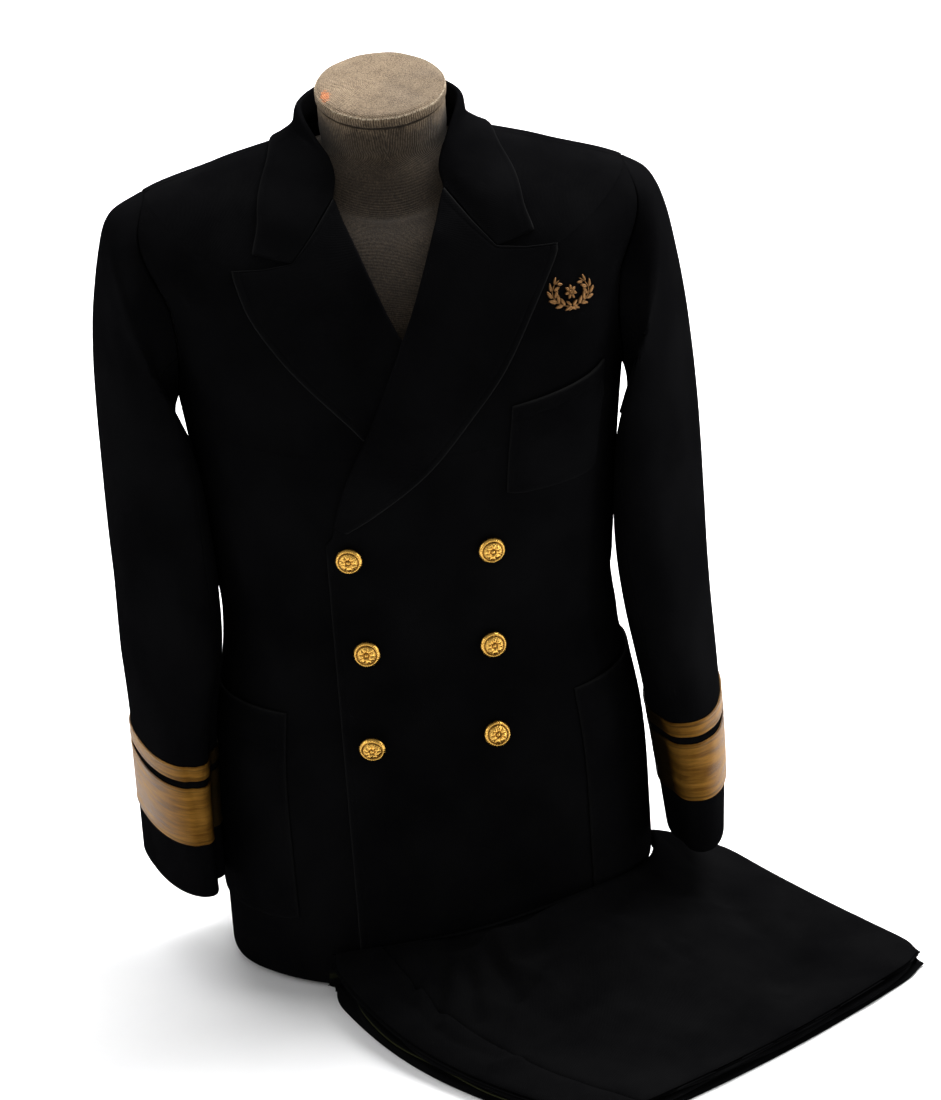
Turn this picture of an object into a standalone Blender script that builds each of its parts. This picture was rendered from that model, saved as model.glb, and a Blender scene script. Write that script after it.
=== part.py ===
"""A double-breasted dress jacket on a limbless dress form, with its trousers folded in front of it.

Metres, +Z up. The origin is the middle of the form's flat base, the jacket faces -Y, and the wearer's
left is +X. Every piece of cloth is a wall of its own, worked out from the tables below.
"""
import math

import bmesh
import bpy
import numpy as np
from mathutils import Matrix, Vector


def table(names, *rows):
    """A table with named columns: one dictionary for each row."""
    return [dict(zip(names.split(), row)) for row in rows]


# Cloth
CLOTH = 0.0020
SEAM_GAP = 0.0005
LAYER_GAP = 0.0006
LAP_GAP = 0.0018
ROW_STEP = 1e-4
ANGLE_STEP = 1e-3
HALF_DEGREE = 0.5
WELD = 1e-7
SHARP_ANGLE = math.radians(40.0)
SEARCH_STEPS = 40

# Jacket body: one ring for each row, from the hem (row 0) to the top of the collar's stand (row 11).
# The heights are at the middle of the front, at the side and at the middle of the back. "square" is the
# exponent of the superellipse: 2 is an ellipse, and more is squarer.
BODY_RINGS = table(
    "z_front z_side z_back half_width front back square",
    (0.0050, 0.0050, 0.0050, 0.183, 0.151, 0.130, 2.25),
    (0.1000, 0.1000, 0.1000, 0.183, 0.146, 0.128, 2.25),
    (0.1900, 0.1900, 0.1900, 0.181, 0.139, 0.121, 2.25),
    (0.2900, 0.2900, 0.2900, 0.167, 0.126, 0.106, 2.25),
    (0.3750, 0.3750, 0.3750, 0.172, 0.131, 0.110, 2.30),
    (0.4450, 0.4550, 0.4500, 0.180, 0.139, 0.120, 2.35),
    (0.4900, 0.5300, 0.5050, 0.190, 0.140, 0.124, 2.40),
    (0.5350, 0.6000, 0.5600, 0.201, 0.134, 0.123, 2.45),
    (0.5800, 0.6560, 0.6150, 0.211, 0.121, 0.114, 2.45),
    (0.6320, 0.6850, 0.6680, 0.140, 0.098, 0.094, 2.20),
    (0.6680, 0.7080, 0.7060, 0.069, 0.068, 0.062, 2.00),
    (0.7000, 0.7330, 0.7440, 0.063, 0.063, 0.059, 2.00),
)
NECK_RING = 10.0

# Soft folds of the body: the angle from the middle of the front, the rows it runs between, its half width
# as an angle, how far its top leans round the body, and its height (a trough is negative).
BODY_FOLDS = table(
    "angle low high spread lean height",
    (64.0, -1.5, 2.6, 13.0, 5.0, 0.0030),
    (-66.0, -1.5, 2.4, 14.0, -6.0, 0.0030),
    (122.0, -1.5, 3.2, 11.0, -9.0, 0.0040),
    (147.0, -1.5, 2.8, 10.0, 4.0, -0.0035),
    (-126.0, -1.5, 3.0, 12.0, 8.0, 0.0040),
    (-152.0, -1.5, 3.4, 10.0, -3.0, -0.0030),
    (118.0, 4.6, 7.6, 10.0, 12.0, -0.0040),
    (-120.0, 4.4, 7.4, 10.0, -12.0, -0.0040),
    (-86.0, 6.4, 10.9, 34.0, 0.0, 0.0045),
)

# Closure: the left front laps over the right front, past the middle.
LAP = 0.074
LAP_FADE_ANGLES = (36.0, 66.0)
BREAK_ROW = 4.30
ROLL_LINE = table(
    "row x",
    (4.30, -0.0700),
    (5.90, -0.0350),
    (7.54, 0.0000),
    (8.65, 0.0245),
    (9.35, 0.0390),
    (10.00, 0.0535),
)

# Seams and armholes
SIDE_SEAM_LOW = 106.0
SHOULDER_SEAM = 90.0
ARMHOLE_ROW = 6.90
ARMHOLE_ROWS = 1.40
ARMHOLE_SEAM_ANGLE = 97.0
ARMHOLE_SPREAD = 31.0
ARMHOLE_STEPS = 8
ARM_TURN = 360.0 / (2 * ARMHOLE_STEPS)
ARMHOLE_CLEAR = 0.0011
LOW_ROWS = (0.0, 0.5, 1.0, 1.6, 2.2, 2.7, 3.2, 3.75, 4.30, 4.9)
SHOULDER_ROWS = (8.75, 9.2, 9.6, 10.0)
FRONT_CELLS = 11
BACK_CELLS = 6

# Lapels and collar meet along the gorge. Outlines are x and z on the jacket's front, from the roll line to
# the notch, and for the lapels' edges from their lower end up to the peak.
GORGE = ((0.0450, 0.6680), (0.0630, 0.6470), (0.0820, 0.6265))
LAPEL_TOP = ((0.1060, 0.6235), (0.1310, 0.6235))
COLLAR_CORNER = (0.1130, 0.6350)
LAPEL_CELLS = (14, 6)
LEFT_LAPEL_EDGE = (
    (-0.0560, 0.4080), (-0.0280, 0.4260), (0.0120, 0.4560), (0.0490, 0.4960),
    (0.0800, 0.5330), (0.1070, 0.5780), (0.1280, 0.6130),
)
RIGHT_LAPEL_EDGE = (
    (-0.0370, 0.4860), (-0.0480, 0.4990), (-0.0640, 0.5160), (-0.0830, 0.5360),
    (-0.1000, 0.5570), (-0.1200, 0.5880), (-0.1290, 0.6130),
)
LAPEL_ROLL_TOP = 9.62
LAPEL_END = 0.06
LAPEL_TUCK = 0.0035
GORGE_REACH = 6

# Collar: where its edge lies on the body, from the front corner round to the middle of the back.
COLLAR_EDGE = (
    (8.90, 44.5), (9.22, 56.0), (9.50, 70.0), (9.62, 84.0), (9.64, 100.0),
    (9.60, 118.0), (9.55, 138.0), (9.52, 160.0), (9.52, 180.0),
)
GORGE_GAP = 0.0012
COLLAR_CELLS = 24
COLLAR_LIP = 3.6
COLLAR_STAND = 0.92
COLLAR_TURN = 0.22
COLLAR_FOOT = 0.035
COLLAR_ROLL = 0.0062
COLLAR_BULGE = 0.0032
COLLAR_EDGE_LIFT = 0.0012
COLLAR_TUCK = -0.0012
GORGE_FADE = 8
# Where, as shares of the way from the gorge to the middle of the back, the collar's form changes.
COLLAR_NECK_SHARES = (0.1, 0.4)
COLLAR_STAND_SHARES = (0.0, 0.5)
COLLAR_LIP_SHARES = (0.25, 0.5)
COLLAR_FOOT_SHARES = (0.0, 0.2)
# The collar over its roll and down its stand: share of the stand's height, whether the foot's allowance
# counts, share of the lip's turn, and share of the roll's lift.
COLLAR_STAND_SECTION = (
    (0.93, 0, 0.30, 1.00),
    (1.03, 1, 1.00, 0.55),
    (0.90, 1, 1.20, 0.00),
)
COLLAR_FOOT_LIP = 1.25

# Sleeves: one ring for each row, from the armhole (row 0) to the cuff (row 10). Each sleeve has its own
# inner and outer x, and the right one's are mirrored. The skew is how far its front turns in.
SLEEVE_RINGS = table(
    "left_in left_out left_skew right_in right_out right_skew z_in z_out y_front y_back square",
    (0.1870, 0.2070, 0.000, 0.1870, 0.2090, 0.000, 0.4970, 0.6630, -0.086, 0.072, 2.0),
    (0.1895, 0.2225, 0.003, 0.1900, 0.2325, 0.003, 0.4860, 0.6500, -0.090, 0.078, 2.1),
    (0.1890, 0.2310, 0.010, 0.1890, 0.2395, 0.011, 0.4700, 0.6180, -0.092, 0.081, 2.2),
    (0.1860, 0.2345, 0.022, 0.1860, 0.2420, 0.024, 0.4500, 0.5700, -0.093, 0.082, 2.2),
    (0.1825, 0.2395, 0.026, 0.1820, 0.2465, 0.026, 0.4260, 0.5060, -0.092, 0.082, 2.2),
    (0.1790, 0.2430, 0.026, 0.1782, 0.2500, 0.025, 0.3920, 0.4320, -0.091, 0.080, 2.3),
    (0.1760, 0.2445, 0.024, 0.1755, 0.2515, 0.025, 0.3500, 0.3620, -0.092, 0.076, 2.3),
    (0.1770, 0.2470, 0.018, 0.1755, 0.2480, 0.027, 0.2900, 0.2920, -0.095, 0.069, 2.3),
    (0.1855, 0.2515, 0.010, 0.1835, 0.2475, 0.020, 0.2150, 0.2150, -0.099, 0.060, 2.4),
    (0.1920, 0.2525, 0.006, 0.1870, 0.2465, 0.020, 0.1500, 0.1500, -0.103, 0.051, 2.4),
    (0.1985, 0.2480, 0.004, 0.1880, 0.2450, 0.022, 0.0830, 0.0830, -0.106, 0.044, 2.4),
)
UPPER_SLEEVE_ROWS = (0.0, 0.4, 0.9, 1.5, 2.2, 3.0, 3.8, 4.6, 5.4, 6.2, 7.0, 7.7)
SLEEVE_SEAMS = (5, 11)
SLEEVE_SEAM_SHARE = 0.7
SLEEVE_BLEND_ROWS = 2.5
# Troughs of the sleeves: the angle runs round from the outer side to the front.
SLEEVE_FOLDS = table(
    "side angle low high spread lean height",
    (-1, 128.0, 6.0, 13.5, 25.0, 0.0, -0.0230),
    (1, 128.0, 6.4, 13.5, 26.0, 0.0, -0.0120),
    (-1, 60.0, 3.4, 6.6, 26.0, 40.0, -0.0060),
    (1, 70.0, 3.6, 6.8, 24.0, -36.0, -0.0060),
    (-1, -60.0, 3.8, 7.4, 26.0, 30.0, -0.0070),
    (1, -66.0, 3.6, 7.2, 26.0, -30.0, -0.0070),
)

# Cuff lace: height of each stripe's lower edge above the cuff, and its width.
LACE = table("size above width", ("wide", 0.0470, 0.0508), ("narrow", 0.1042, 0.0127))
LACE_TOP_ROW = 6.0
LACE_LIFT = 0.0008
LACE_THICKNESS = 0.0011

# Pockets: corners on the jacket's fronts, as row and angle of the body, and cells across and down.
POCKETS = table(
    "name side top_front top_back bottom_back bottom_front cells",
    ("breast_pocket", 1, (6.17, 21.5), (6.05, 57.0), (4.70, 55.0), (4.72, 21.0), (7, 6)),
    ("left_lower_pocket", 1, (2.52, 41.0), (2.56, 101.0), (0.58, 99.0), (0.56, 40.0), (10, 6)),
    ("right_lower_pocket", -1, (2.52, 41.0), (2.56, 101.0), (0.58, 99.0), (0.56, 40.0), (10, 6)),
)
POCKET_LIFT = 0.0007

# Buttons: domed, on a short shank. The profile is radius and height from the cloth.
BUTTON_RADIUS = 0.01125
BUTTON_SIDES = 14
BUTTON_PROFILE = (
    (0.0098, 0.0000), (BUTTON_RADIUS, 0.0012), (0.0108, 0.0024), (0.0098, 0.0024),
    (0.0084, 0.0040), (0.0050, 0.0056), (0.0, 0.0062),
)
BUTTON_LIFT = 0.0004
SEAT_REACH = 0.02
SHANK_RADIUS = 0.0034
BUTTONS = table(
    "name row angle shank droop",
    ("right_top", 4.12, -15.9, 0.0018, 0.0),
    ("left_top", 4.10, 16.6, 0.0018, 0.0),
    ("right_middle", 3.10, -14.2, 0.0018, 0.0),
    ("left_middle", 3.08, 16.4, 0.0018, 0.0),
    ("right_bottom", 2.31, -13.8, 0.0046, 24.0),
    ("left_bottom", 2.31, 14.6, 0.0018, 0.0),
)

# Badge on the left breast: an open spray of two leafy sprigs round a small rosette.
BADGE_ROW = 7.62
BADGE_ANGLE = 35.5
BADGE_HALF_WIDTH = 0.0255
BADGE_HALF_HEIGHT = 0.0175
BADGE_ROSETTE = 0.0066
BADGE_OPENING = (13.6, 34.0)
BADGE_TURN = 0.86
BADGE_LEAVES = 15
BADGE_LEAF_DEPTH = 0.06
BADGE_POINTS = 44
BADGE_RINGS = ((0.0, 0.5), (0.0, 1.0), (1.0, 0.96), (1.0, 0.5))
BADGE_THICKNESS = 0.0026
BADGE_LIFT = 0.0010

# Dress form: how far it lies inside the cloth at each ring of the body, and its neck.
FORM_SIDES = 26
FORM_CLEAR = (0.0150, 0.0150, 0.0140, 0.0110, 0.0090, 0.0070, 0.0050, 0.0036, 0.0026, 0.0032, 0.0054)
FORM_ROWS = (0.0, 0.9, 1.8, 2.6, 3.3, 4.1, 4.9, 5.6, 6.3, 7.0, 7.6, 8.1, 8.6, 9.1, 9.5, 9.75)
NECK_TILT = math.radians(17.0)
NECK_TOP = 0.7350
NECK_X = 0.0020
NECK_Y = 0.0020
NECK_HEIGHT = 0.0600
NECK_RINGS = ((0.0540, 0.0390), (0.0525, 0.0200), (0.0525, 0.0))
CAP_PROFILE = (
    (0.0525, 0.0000), (0.0540, 0.0020), (0.0540, 0.0072), (0.0520, 0.0098), (0.0480, 0.0112), (0.0, 0.0120),
)
CAP_GAP = 0.0004

# Trousers: a folded stack on the floor. Its corners, the near edge first, and the hem that it lies against.
TROUSER_WAIST_NEAR = (0.098, -0.441)
TROUSER_FOLD_NEAR = (0.401, -0.192)
TROUSER_FOLD_FAR = (0.246, 0.052)
TROUSER_WAIST_BOW = 0.032
TROUSER_NEAR_BOW = 0.012
TROUSER_BOW_FADE = 3
TROUSER_HEM_ANGLES = (-33.0, 94.0)
TROUSER_HEM_SHARE = 0.80
TROUSER_HEM_CLEAR = 0.0048
TROUSER_ALONG = (
    0.0, 0.02, 0.065, 0.11, 0.17, 0.23, 0.29, 0.35, 0.41, 0.47,
    0.53, 0.59, 0.65, 0.72, 0.79, 0.86, 0.93, 0.98, 1.0,
)
TROUSER_ACROSS = (0.0, 0.03, 0.12, 0.22, 0.32, 0.42, 0.52, 0.62, 0.71, 0.79, 0.87, 0.93, 0.98, 1.0)
STACK_HEIGHTS = table(
    "along near far",
    (0.00, 0.014, 0.034),
    (0.20, 0.014, 0.052),
    (0.40, 0.014, 0.068),
    (0.60, 0.014, 0.066),
    (0.80, 0.014, 0.056),
    (0.90, 0.014, 0.040),
    (1.00, 0.013, 0.024),
)
STACK_RISE = 2.6
# How fast a crease rises from the stack's edges: across it and along it.
CREASE_RISE = (8.0, 10.0)
TROUSER_CREASES = table(
    "start end half_width height",
    ((0.000, -0.180), (0.160, -0.160), 0.016, 0.0060),
    ((0.010, -0.215), (0.190, -0.130), 0.014, -0.0050),
    ((-0.010, -0.205), (0.070, -0.300), 0.013, 0.0040),
    ((0.160, -0.205), (0.030, -0.330), 0.012, -0.0030),
    ((0.225, -0.070), (0.300, -0.210), 0.016, -0.0040),
)
# The stack's edge: share of its height, and how far each layer stands out or draws in.
STACK_EDGE = (
    (0.00, -0.0030), (0.10, 0.0), (0.32, 0.0), (0.37, -0.0030), (0.42, 0.0),
    (0.66, 0.0), (0.71, -0.0030), (0.76, 0.0), (1.00, -0.0025),
)
WAISTBAND_ROWS = (1, 3)
TOP_ROWS = (3, 17)
TOP_LAYER_MARGIN = 1
TOP_LAYER_GAP = 0.0012


def column(rows, name):
    """Values of one column of a table."""
    return [row[name] for row in rows]


def smooth_value(values, at):
    """Value of a table's column between its rows, on a smooth curve through them."""
    last = len(values) - 1
    low = min(max(int(math.floor(at)), 0), last - 1)
    t = at - low
    start, end = values[low], values[low + 1]
    slope_start = (end - values[low - 1]) / 2 if low > 0 else end - start
    slope_end = (values[low + 2] - start) / 2 if low + 2 <= last else end - start
    return (
        (2 * t**3 - 3 * t**2 + 1) * start + (t**3 - 2 * t**2 + t) * slope_start
        + (3 * t**2 - 2 * t**3) * end + (t**3 - t**2) * slope_end
    )


def fade(value, start, end):
    """0 at start, 1 at end, and a smooth step between them."""
    t = min(max((value - start) / (end - start), 0.0), 1.0)
    return t * t * (3 - 2 * t)


def power(value, exponent):
    """A signed power, for superellipses."""
    return math.copysign(abs(value) ** exponent, value)


BODY = {name: column(BODY_RINGS, name) for name in BODY_RINGS[0]}
SLEEVE = {name: column(SLEEVE_RINGS, name) for name in SLEEVE_RINGS[0]}


def fold_height(folds, at, angle):
    """Height of the soft folds at one place: each is a rounded ridge that fades out at both ends."""
    total = 0.0
    for fold in folds:
        share = (at - fold["low"]) / (fold["high"] - fold["low"])
        if 0.0 < share < 1.0:
            off = (angle - fold["angle"] - fold["lean"] * share + 180.0) % 360.0 - 180.0
            total += fold["height"] * math.exp(-((off / fold["spread"]) ** 2)) * math.sin(math.pi * share)
    return total


def body_bare(row, angle):
    """Point of the jacket body's outer surface, without its folds."""
    ring = {name: smooth_value(values, row) for name, values in BODY.items()}
    sine = math.sin(math.radians(angle))
    cosine = math.cos(math.radians(angle))
    ahead = cosine > 0
    depth = ring["front"] if ahead else ring["back"]
    middle = ring["z_front"] if ahead else ring["z_back"]
    x = ring["half_width"] * power(sine, 2 / ring["square"])
    y = -depth * power(cosine, 2 / ring["square"])
    z = middle * cosine**2 + ring["z_side"] * sine**2
    return np.array((x, y, z))


def outward(surface, row, angle):
    """Unit normal of a surface that is a function of a row and an angle."""
    round_it = surface(row, angle + ANGLE_STEP) - surface(row, angle - ANGLE_STEP)
    up_it = surface(row + ROW_STEP, angle) - surface(row - ROW_STEP, angle)
    normal = np.cross(round_it, up_it)
    return normal / np.linalg.norm(normal)


def body(row, angle, lift=0.0):
    """Point on the jacket body, or lifted off it along its normal."""
    height = lift + fold_height(BODY_FOLDS, row, angle)
    return body_bare(row, angle) + height * outward(body_bare, row, angle)


def angle_at(row, x):
    """Angle at which the front of a ring of the body has the given x."""
    half_width = smooth_value(BODY["half_width"], row)
    square = smooth_value(BODY["square"], row)
    share = min(abs(x) / half_width, 1.0)
    return math.copysign(math.degrees(math.asin(share ** (square / 2))), x)


def place_on_front(x, z):
    """Row and angle of the body's front at the given x and z."""
    low, high = 0.0, len(BODY_RINGS) - 1.0
    for _ in range(SEARCH_STEPS):
        row = (low + high) / 2
        if body_bare(row, angle_at(row, x))[2] < z:
            low = row
        else:
            high = row
    return row, angle_at(row, x)


def left_lift(angle):
    """How far the left front stands out, where it lies over the right front."""
    return (CLOTH + LAP_GAP) * (1.0 - fade(angle, *LAP_FADE_ANGLES))


def front_surface(side, row, angle, lift=0.0):
    """Point on the outside of a front: side is 1 for the left front and -1 for the right one."""
    base = left_lift(angle) if side > 0 else 0.0
    return body(row, angle, base + lift)


def roll_x(row):
    """x of the left lapel's roll line at a row of the body."""
    return float(np.interp(row, column(ROLL_LINE, "row"), column(ROLL_LINE, "x")))


def seam_angle(row):
    """Angle of the side seam, then of the armhole's middle, then of the shoulder seam."""
    low = ARMHOLE_ROW - ARMHOLE_ROWS
    high = ARMHOLE_ROW + ARMHOLE_ROWS
    return float(np.interp(row, (0.0, low, high), (SIDE_SEAM_LOW, ARMHOLE_SEAM_ANGLE, SHOULDER_SEAM)))


def armhole_reach(row):
    """Half width of the armhole at a row, as an angle; 0 above and below it."""
    share = (row - ARMHOLE_ROW) / ARMHOLE_ROWS
    return ARMHOLE_SPREAD * math.sqrt(max(0.0, 1.0 - share * share))


def gap_angle(row, angle, gap):
    """The angle that spans a gap, at a place on the body."""
    step = body_bare(row, angle + HALF_DEGREE) - body_bare(row, angle - HALF_DEGREE)
    return gap / float(np.linalg.norm(step))


def armhole(side, turn, clear=0.0):
    """Point on the armhole's edge: turn runs from its top (0) to the front (90) and the underarm (180)."""
    row = ARMHOLE_ROW + ARMHOLE_ROWS * math.cos(math.radians(turn))
    angle = seam_angle(row) - ARMHOLE_SPREAD * math.sin(math.radians(turn))
    edge = body(row, side * angle)
    middle = body(ARMHOLE_ROW, side * seam_angle(ARMHOLE_ROW))
    inward = middle - edge
    return edge + clear * inward / np.linalg.norm(inward)


def sleeve_bare(side, row, turn):
    """Point of a sleeve: row 0 is the armhole, and turn runs from the outer side (0) to the front (90)."""
    ring = {name: smooth_value(values, row) for name, values in SLEEVE.items()}
    across = power(math.cos(math.radians(turn)), 2 / ring["square"])
    forward = power(math.sin(math.radians(turn)), 2 / ring["square"])
    word = "left" if side > 0 else "right"
    x_in, x_out = ring[word + "_in"], ring[word + "_out"]
    x = (x_out + x_in) / 2 + across * (x_out - x_in) / 2 - forward * ring[word + "_skew"]
    z = (ring["z_out"] + ring["z_in"]) / 2 + across * (ring["z_out"] - ring["z_in"]) / 2
    y = (ring["y_back"] + ring["y_front"]) / 2 - forward * (ring["y_back"] - ring["y_front"]) / 2
    return np.array((side * x, y, z))


def sleeve_shape(side, row, turn):
    """A sleeve's surface, with its upper end bent to the armhole and its troughs pressed in."""
    point = sleeve_bare(side, row, turn)
    if row < SLEEVE_BLEND_ROWS:
        share = (1.0 - row / SLEEVE_BLEND_ROWS) ** 2
        bend = armhole(side, turn, ARMHOLE_CLEAR) - sleeve_bare(side, 0.0, turn)
        point = point + share * bend
    height = fold_height([fold for fold in SLEEVE_FOLDS if fold["side"] == side], row, turn)
    if height:
        axis = (sleeve_bare(side, row, 0.0) + sleeve_bare(side, row, 180.0)) / 2
        away = point - axis
        point = point + height * away / np.linalg.norm(away)
    return point


def sleeve(side, row, turn, lift=0.0):
    """Point on a sleeve, or lifted off it along its normal."""
    point = sleeve_shape(side, row, turn)
    if not lift:
        return point
    normal = outward(lambda r, a: sleeve_shape(side, r, a), row, turn)
    axis = (sleeve_bare(side, row, 0.0) + sleeve_bare(side, row, 180.0)) / 2
    if np.dot(normal, point - axis) < 0:
        normal = -normal
    return point + lift * normal


def material(name, colour, roughness, metallic=0.0):
    """A plain surface finish."""
    made = bpy.data.materials.new(name)
    made.use_nodes = True
    shader = made.node_tree.nodes["Principled BSDF"]
    shader.inputs["Base Color"].default_value = (*colour, 1.0)
    shader.inputs["Roughness"].default_value = roughness
    shader.inputs["Metallic"].default_value = metallic
    return made


def add_object(name, points, faces, finish):
    """One closed body with its faces pointing out."""
    mesh = bpy.data.meshes.new(name)
    mesh.from_pydata([tuple(point) for point in points], [], faces)
    shape = bmesh.new()
    shape.from_mesh(mesh)
    bmesh.ops.remove_doubles(shape, verts=shape.verts, dist=WELD)
    bmesh.ops.recalc_face_normals(shape, faces=shape.faces)
    if shape.calc_volume(signed=True) < 0:
        bmesh.ops.reverse_faces(shape, faces=shape.faces)
    shape.to_mesh(mesh)
    shape.free()
    mesh.shade_smooth()
    mesh.set_sharp_from_angle(angle=SHARP_ANGLE)
    mesh.materials.append(finish)
    made = bpy.data.objects.new(name, mesh)
    bpy.context.scene.collection.objects.link(made)
    return made


def wall(name, outer, inner, finish, closed=False):
    """A wall between two grids of points. A closed one runs round a tube, in its second direction."""
    rows, columns = len(outer), len(outer[0])
    points = [point for grid in (outer, inner) for line in grid for point in line]
    half = rows * columns
    last = columns if closed else columns - 1
    faces = []
    for i in range(rows - 1):
        for j in range(last):
            a, b = i * columns + j, i * columns + (j + 1) % columns
            faces.append((a, b, b + columns, a + columns))
            faces.append((a + half, a + columns + half, b + columns + half, b + half))
    for j in range(last):
        for start in (0, (rows - 1) * columns):
            a, b = start + j, start + (j + 1) % columns
            faces.append((a, b, b + half, a + half))
    if not closed:
        for i in range(rows - 1):
            for j in (0, columns - 1):
                a, b = i * columns + j, (i + 1) * columns + j
                faces.append((a, b, b + half, a + half))
    return add_object(name, points, faces, finish)


def loft(name, loops, finish):
    """A solid through closed loops of points, with a flat end at each end."""
    count = len(loops[0])
    points = [point for loop in loops for point in loop]
    faces = [tuple(range(count)), tuple(range((len(loops) - 1) * count, len(loops) * count))]
    for i in range(len(loops) - 1):
        for j in range(count):
            a, b = i * count + j, i * count + (j + 1) % count
            faces.append((a, b, b + count, a + count))
    return add_object(name, points, faces, finish)


def turned(name, profile, sides, finish, place):
    """A solid turned round its own Z, from a profile of radii and heights, then placed by a matrix."""
    loops = []
    for radius, height in profile[:-1]:
        turns = [2 * math.pi * k / sides for k in range(sides)]
        loops.append([(radius * math.cos(t), radius * math.sin(t), height) for t in turns])
    points = [point for loop in loops for point in loop] + [(0.0, 0.0, profile[-1][1])]
    tip = len(points) - 1
    faces = [tuple(range(sides))]
    for i in range(len(loops) - 1):
        for j in range(sides):
            a, b = i * sides + j, i * sides + (j + 1) % sides
            faces.append((a, b, b + sides, a + sides))
    start = (len(loops) - 1) * sides
    faces.extend((start + j, start + (j + 1) % sides, tip) for j in range(sides))
    made = add_object(name, points, faces, finish)
    made.matrix_world = place
    return made


def body_rows():
    """Rows of the body's panels: the armhole's rows fall on its even turns."""
    turns = [math.pi * k / ARMHOLE_STEPS for k in range(ARMHOLE_STEPS + 1)]
    return list(LOW_ROWS) + [ARMHOLE_ROW - ARMHOLE_ROWS * math.cos(t) for t in turns] + list(SHOULDER_ROWS)


def front_edge_angle(row):
    """Angle of a front's free edge, measured towards that front's own side."""
    if row <= BREAK_ROW:
        return angle_at(row, -LAP)
    return angle_at(row, roll_x(row))


def front_panel(side, name, finish):
    """A front, from its free edge round to the side seam, the armhole and the shoulder seam."""
    outer, inner = [], []
    for row in body_rows():
        start = front_edge_angle(row)
        seam = seam_angle(row)
        end = seam - armhole_reach(row) - gap_angle(row, seam, SEAM_GAP / 2)
        angles = [side * (start + (end - start) * k / FRONT_CELLS) for k in range(FRONT_CELLS + 1)]
        outer.append([front_surface(side, row, angle) for angle in angles])
        inner.append([front_surface(side, row, angle, -CLOTH) for angle in angles])
    return wall(name, outer, inner, finish)


def back_panel(side, name, finish):
    """A back, from the middle back seam round to the side seam, the armhole and the shoulder seam."""
    outer, inner = [], []
    for row in body_rows():
        seam = seam_angle(row)
        start = seam + armhole_reach(row) + gap_angle(row, seam, SEAM_GAP / 2)
        end = 180.0 - gap_angle(row, 180.0, SEAM_GAP / 2)
        angles = [side * (start + (end - start) * k / BACK_CELLS) for k in range(BACK_CELLS + 1)]
        outer.append([body(row, angle) for angle in angles])
        inner.append([body(row, angle, -CLOTH) for angle in angles])
    return wall(name, outer, inner, finish)


def along(points, share):
    """Point at a share of the way along a smooth curve through a list of points."""
    at = share * (len(points) - 1)
    return [smooth_value([point[axis] for point in points], at) for axis in range(len(points[0]))]


def straight_along(points, share):
    """Point at a share of the way along a polyline."""
    at = share * (len(points) - 1)
    places = range(len(points))
    return [float(np.interp(at, places, [point[axis] for point in points])) for axis in range(len(points[0]))]


def lapel_roll(side, low_row):
    """Points of a lapel's roll line, as x and z, from its lower end to the gorge."""
    line = []
    for k in range(LAPEL_CELLS[0]):
        row = low_row + (LAPEL_ROLL_TOP - low_row) * k / LAPEL_CELLS[0]
        x = side * roll_x(row)
        if side < 0 and roll_x(row) < 0.0:
            x = roll_x(row) - LAPEL_TUCK
        line.append((x, body_bare(row, angle_at(row, x))[2]))
    line.append((side * GORGE[0][0], GORGE[0][1]))
    return line


def lapel(side, name, finish):
    """A lapel: a four-sided wall between its roll line, its outer edge, its lower end and the gorge."""
    edge = LEFT_LAPEL_EDGE if side > 0 else RIGHT_LAPEL_EDGE
    top = [(side * x, z) for x, z in GORGE + LAPEL_TOP]
    edge = edge + (top[-1],)
    low_row = place_on_front(*edge[0])[0]
    roll = lapel_roll(side, max(low_row, BREAK_ROW) + LAPEL_END)
    up_cells, across_cells = LAPEL_CELLS
    outer, inner = [], []
    for i in range(up_cells + 1):
        up = i / up_cells
        outer_line, inner_line = [], []
        for j in range(across_cells + 1):
            across = j / across_cells
            far = along(edge, up)
            gorge = straight_along(top, across)
            place = []
            for axis in range(2):
                straight = (1 - across) * roll[i][axis] + across * far[axis]
                chord = (1 - across) * top[0][axis] + across * top[-1][axis]
                place.append(straight + up**GORGE_REACH * (gorge[axis] - chord))
            row, angle = place_on_front(*place)
            inner_line.append(front_surface(side, row, angle, LAYER_GAP))
            outer_line.append(front_surface(side, row, angle, LAYER_GAP + CLOTH))
        outer.append(outer_line)
        inner.append(inner_line)
    return wall(name, outer, inner, finish)


def collar_end(part):
    """Row and angle of the collar's end, which runs from its corner by the notch and along the gorge."""
    corner = COLLAR_CORNER
    line = (corner,) + tuple((x + GORGE_GAP, z + GORGE_GAP) for x, z in reversed(GORGE))
    return place_on_front(*straight_along(line, part))


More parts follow.
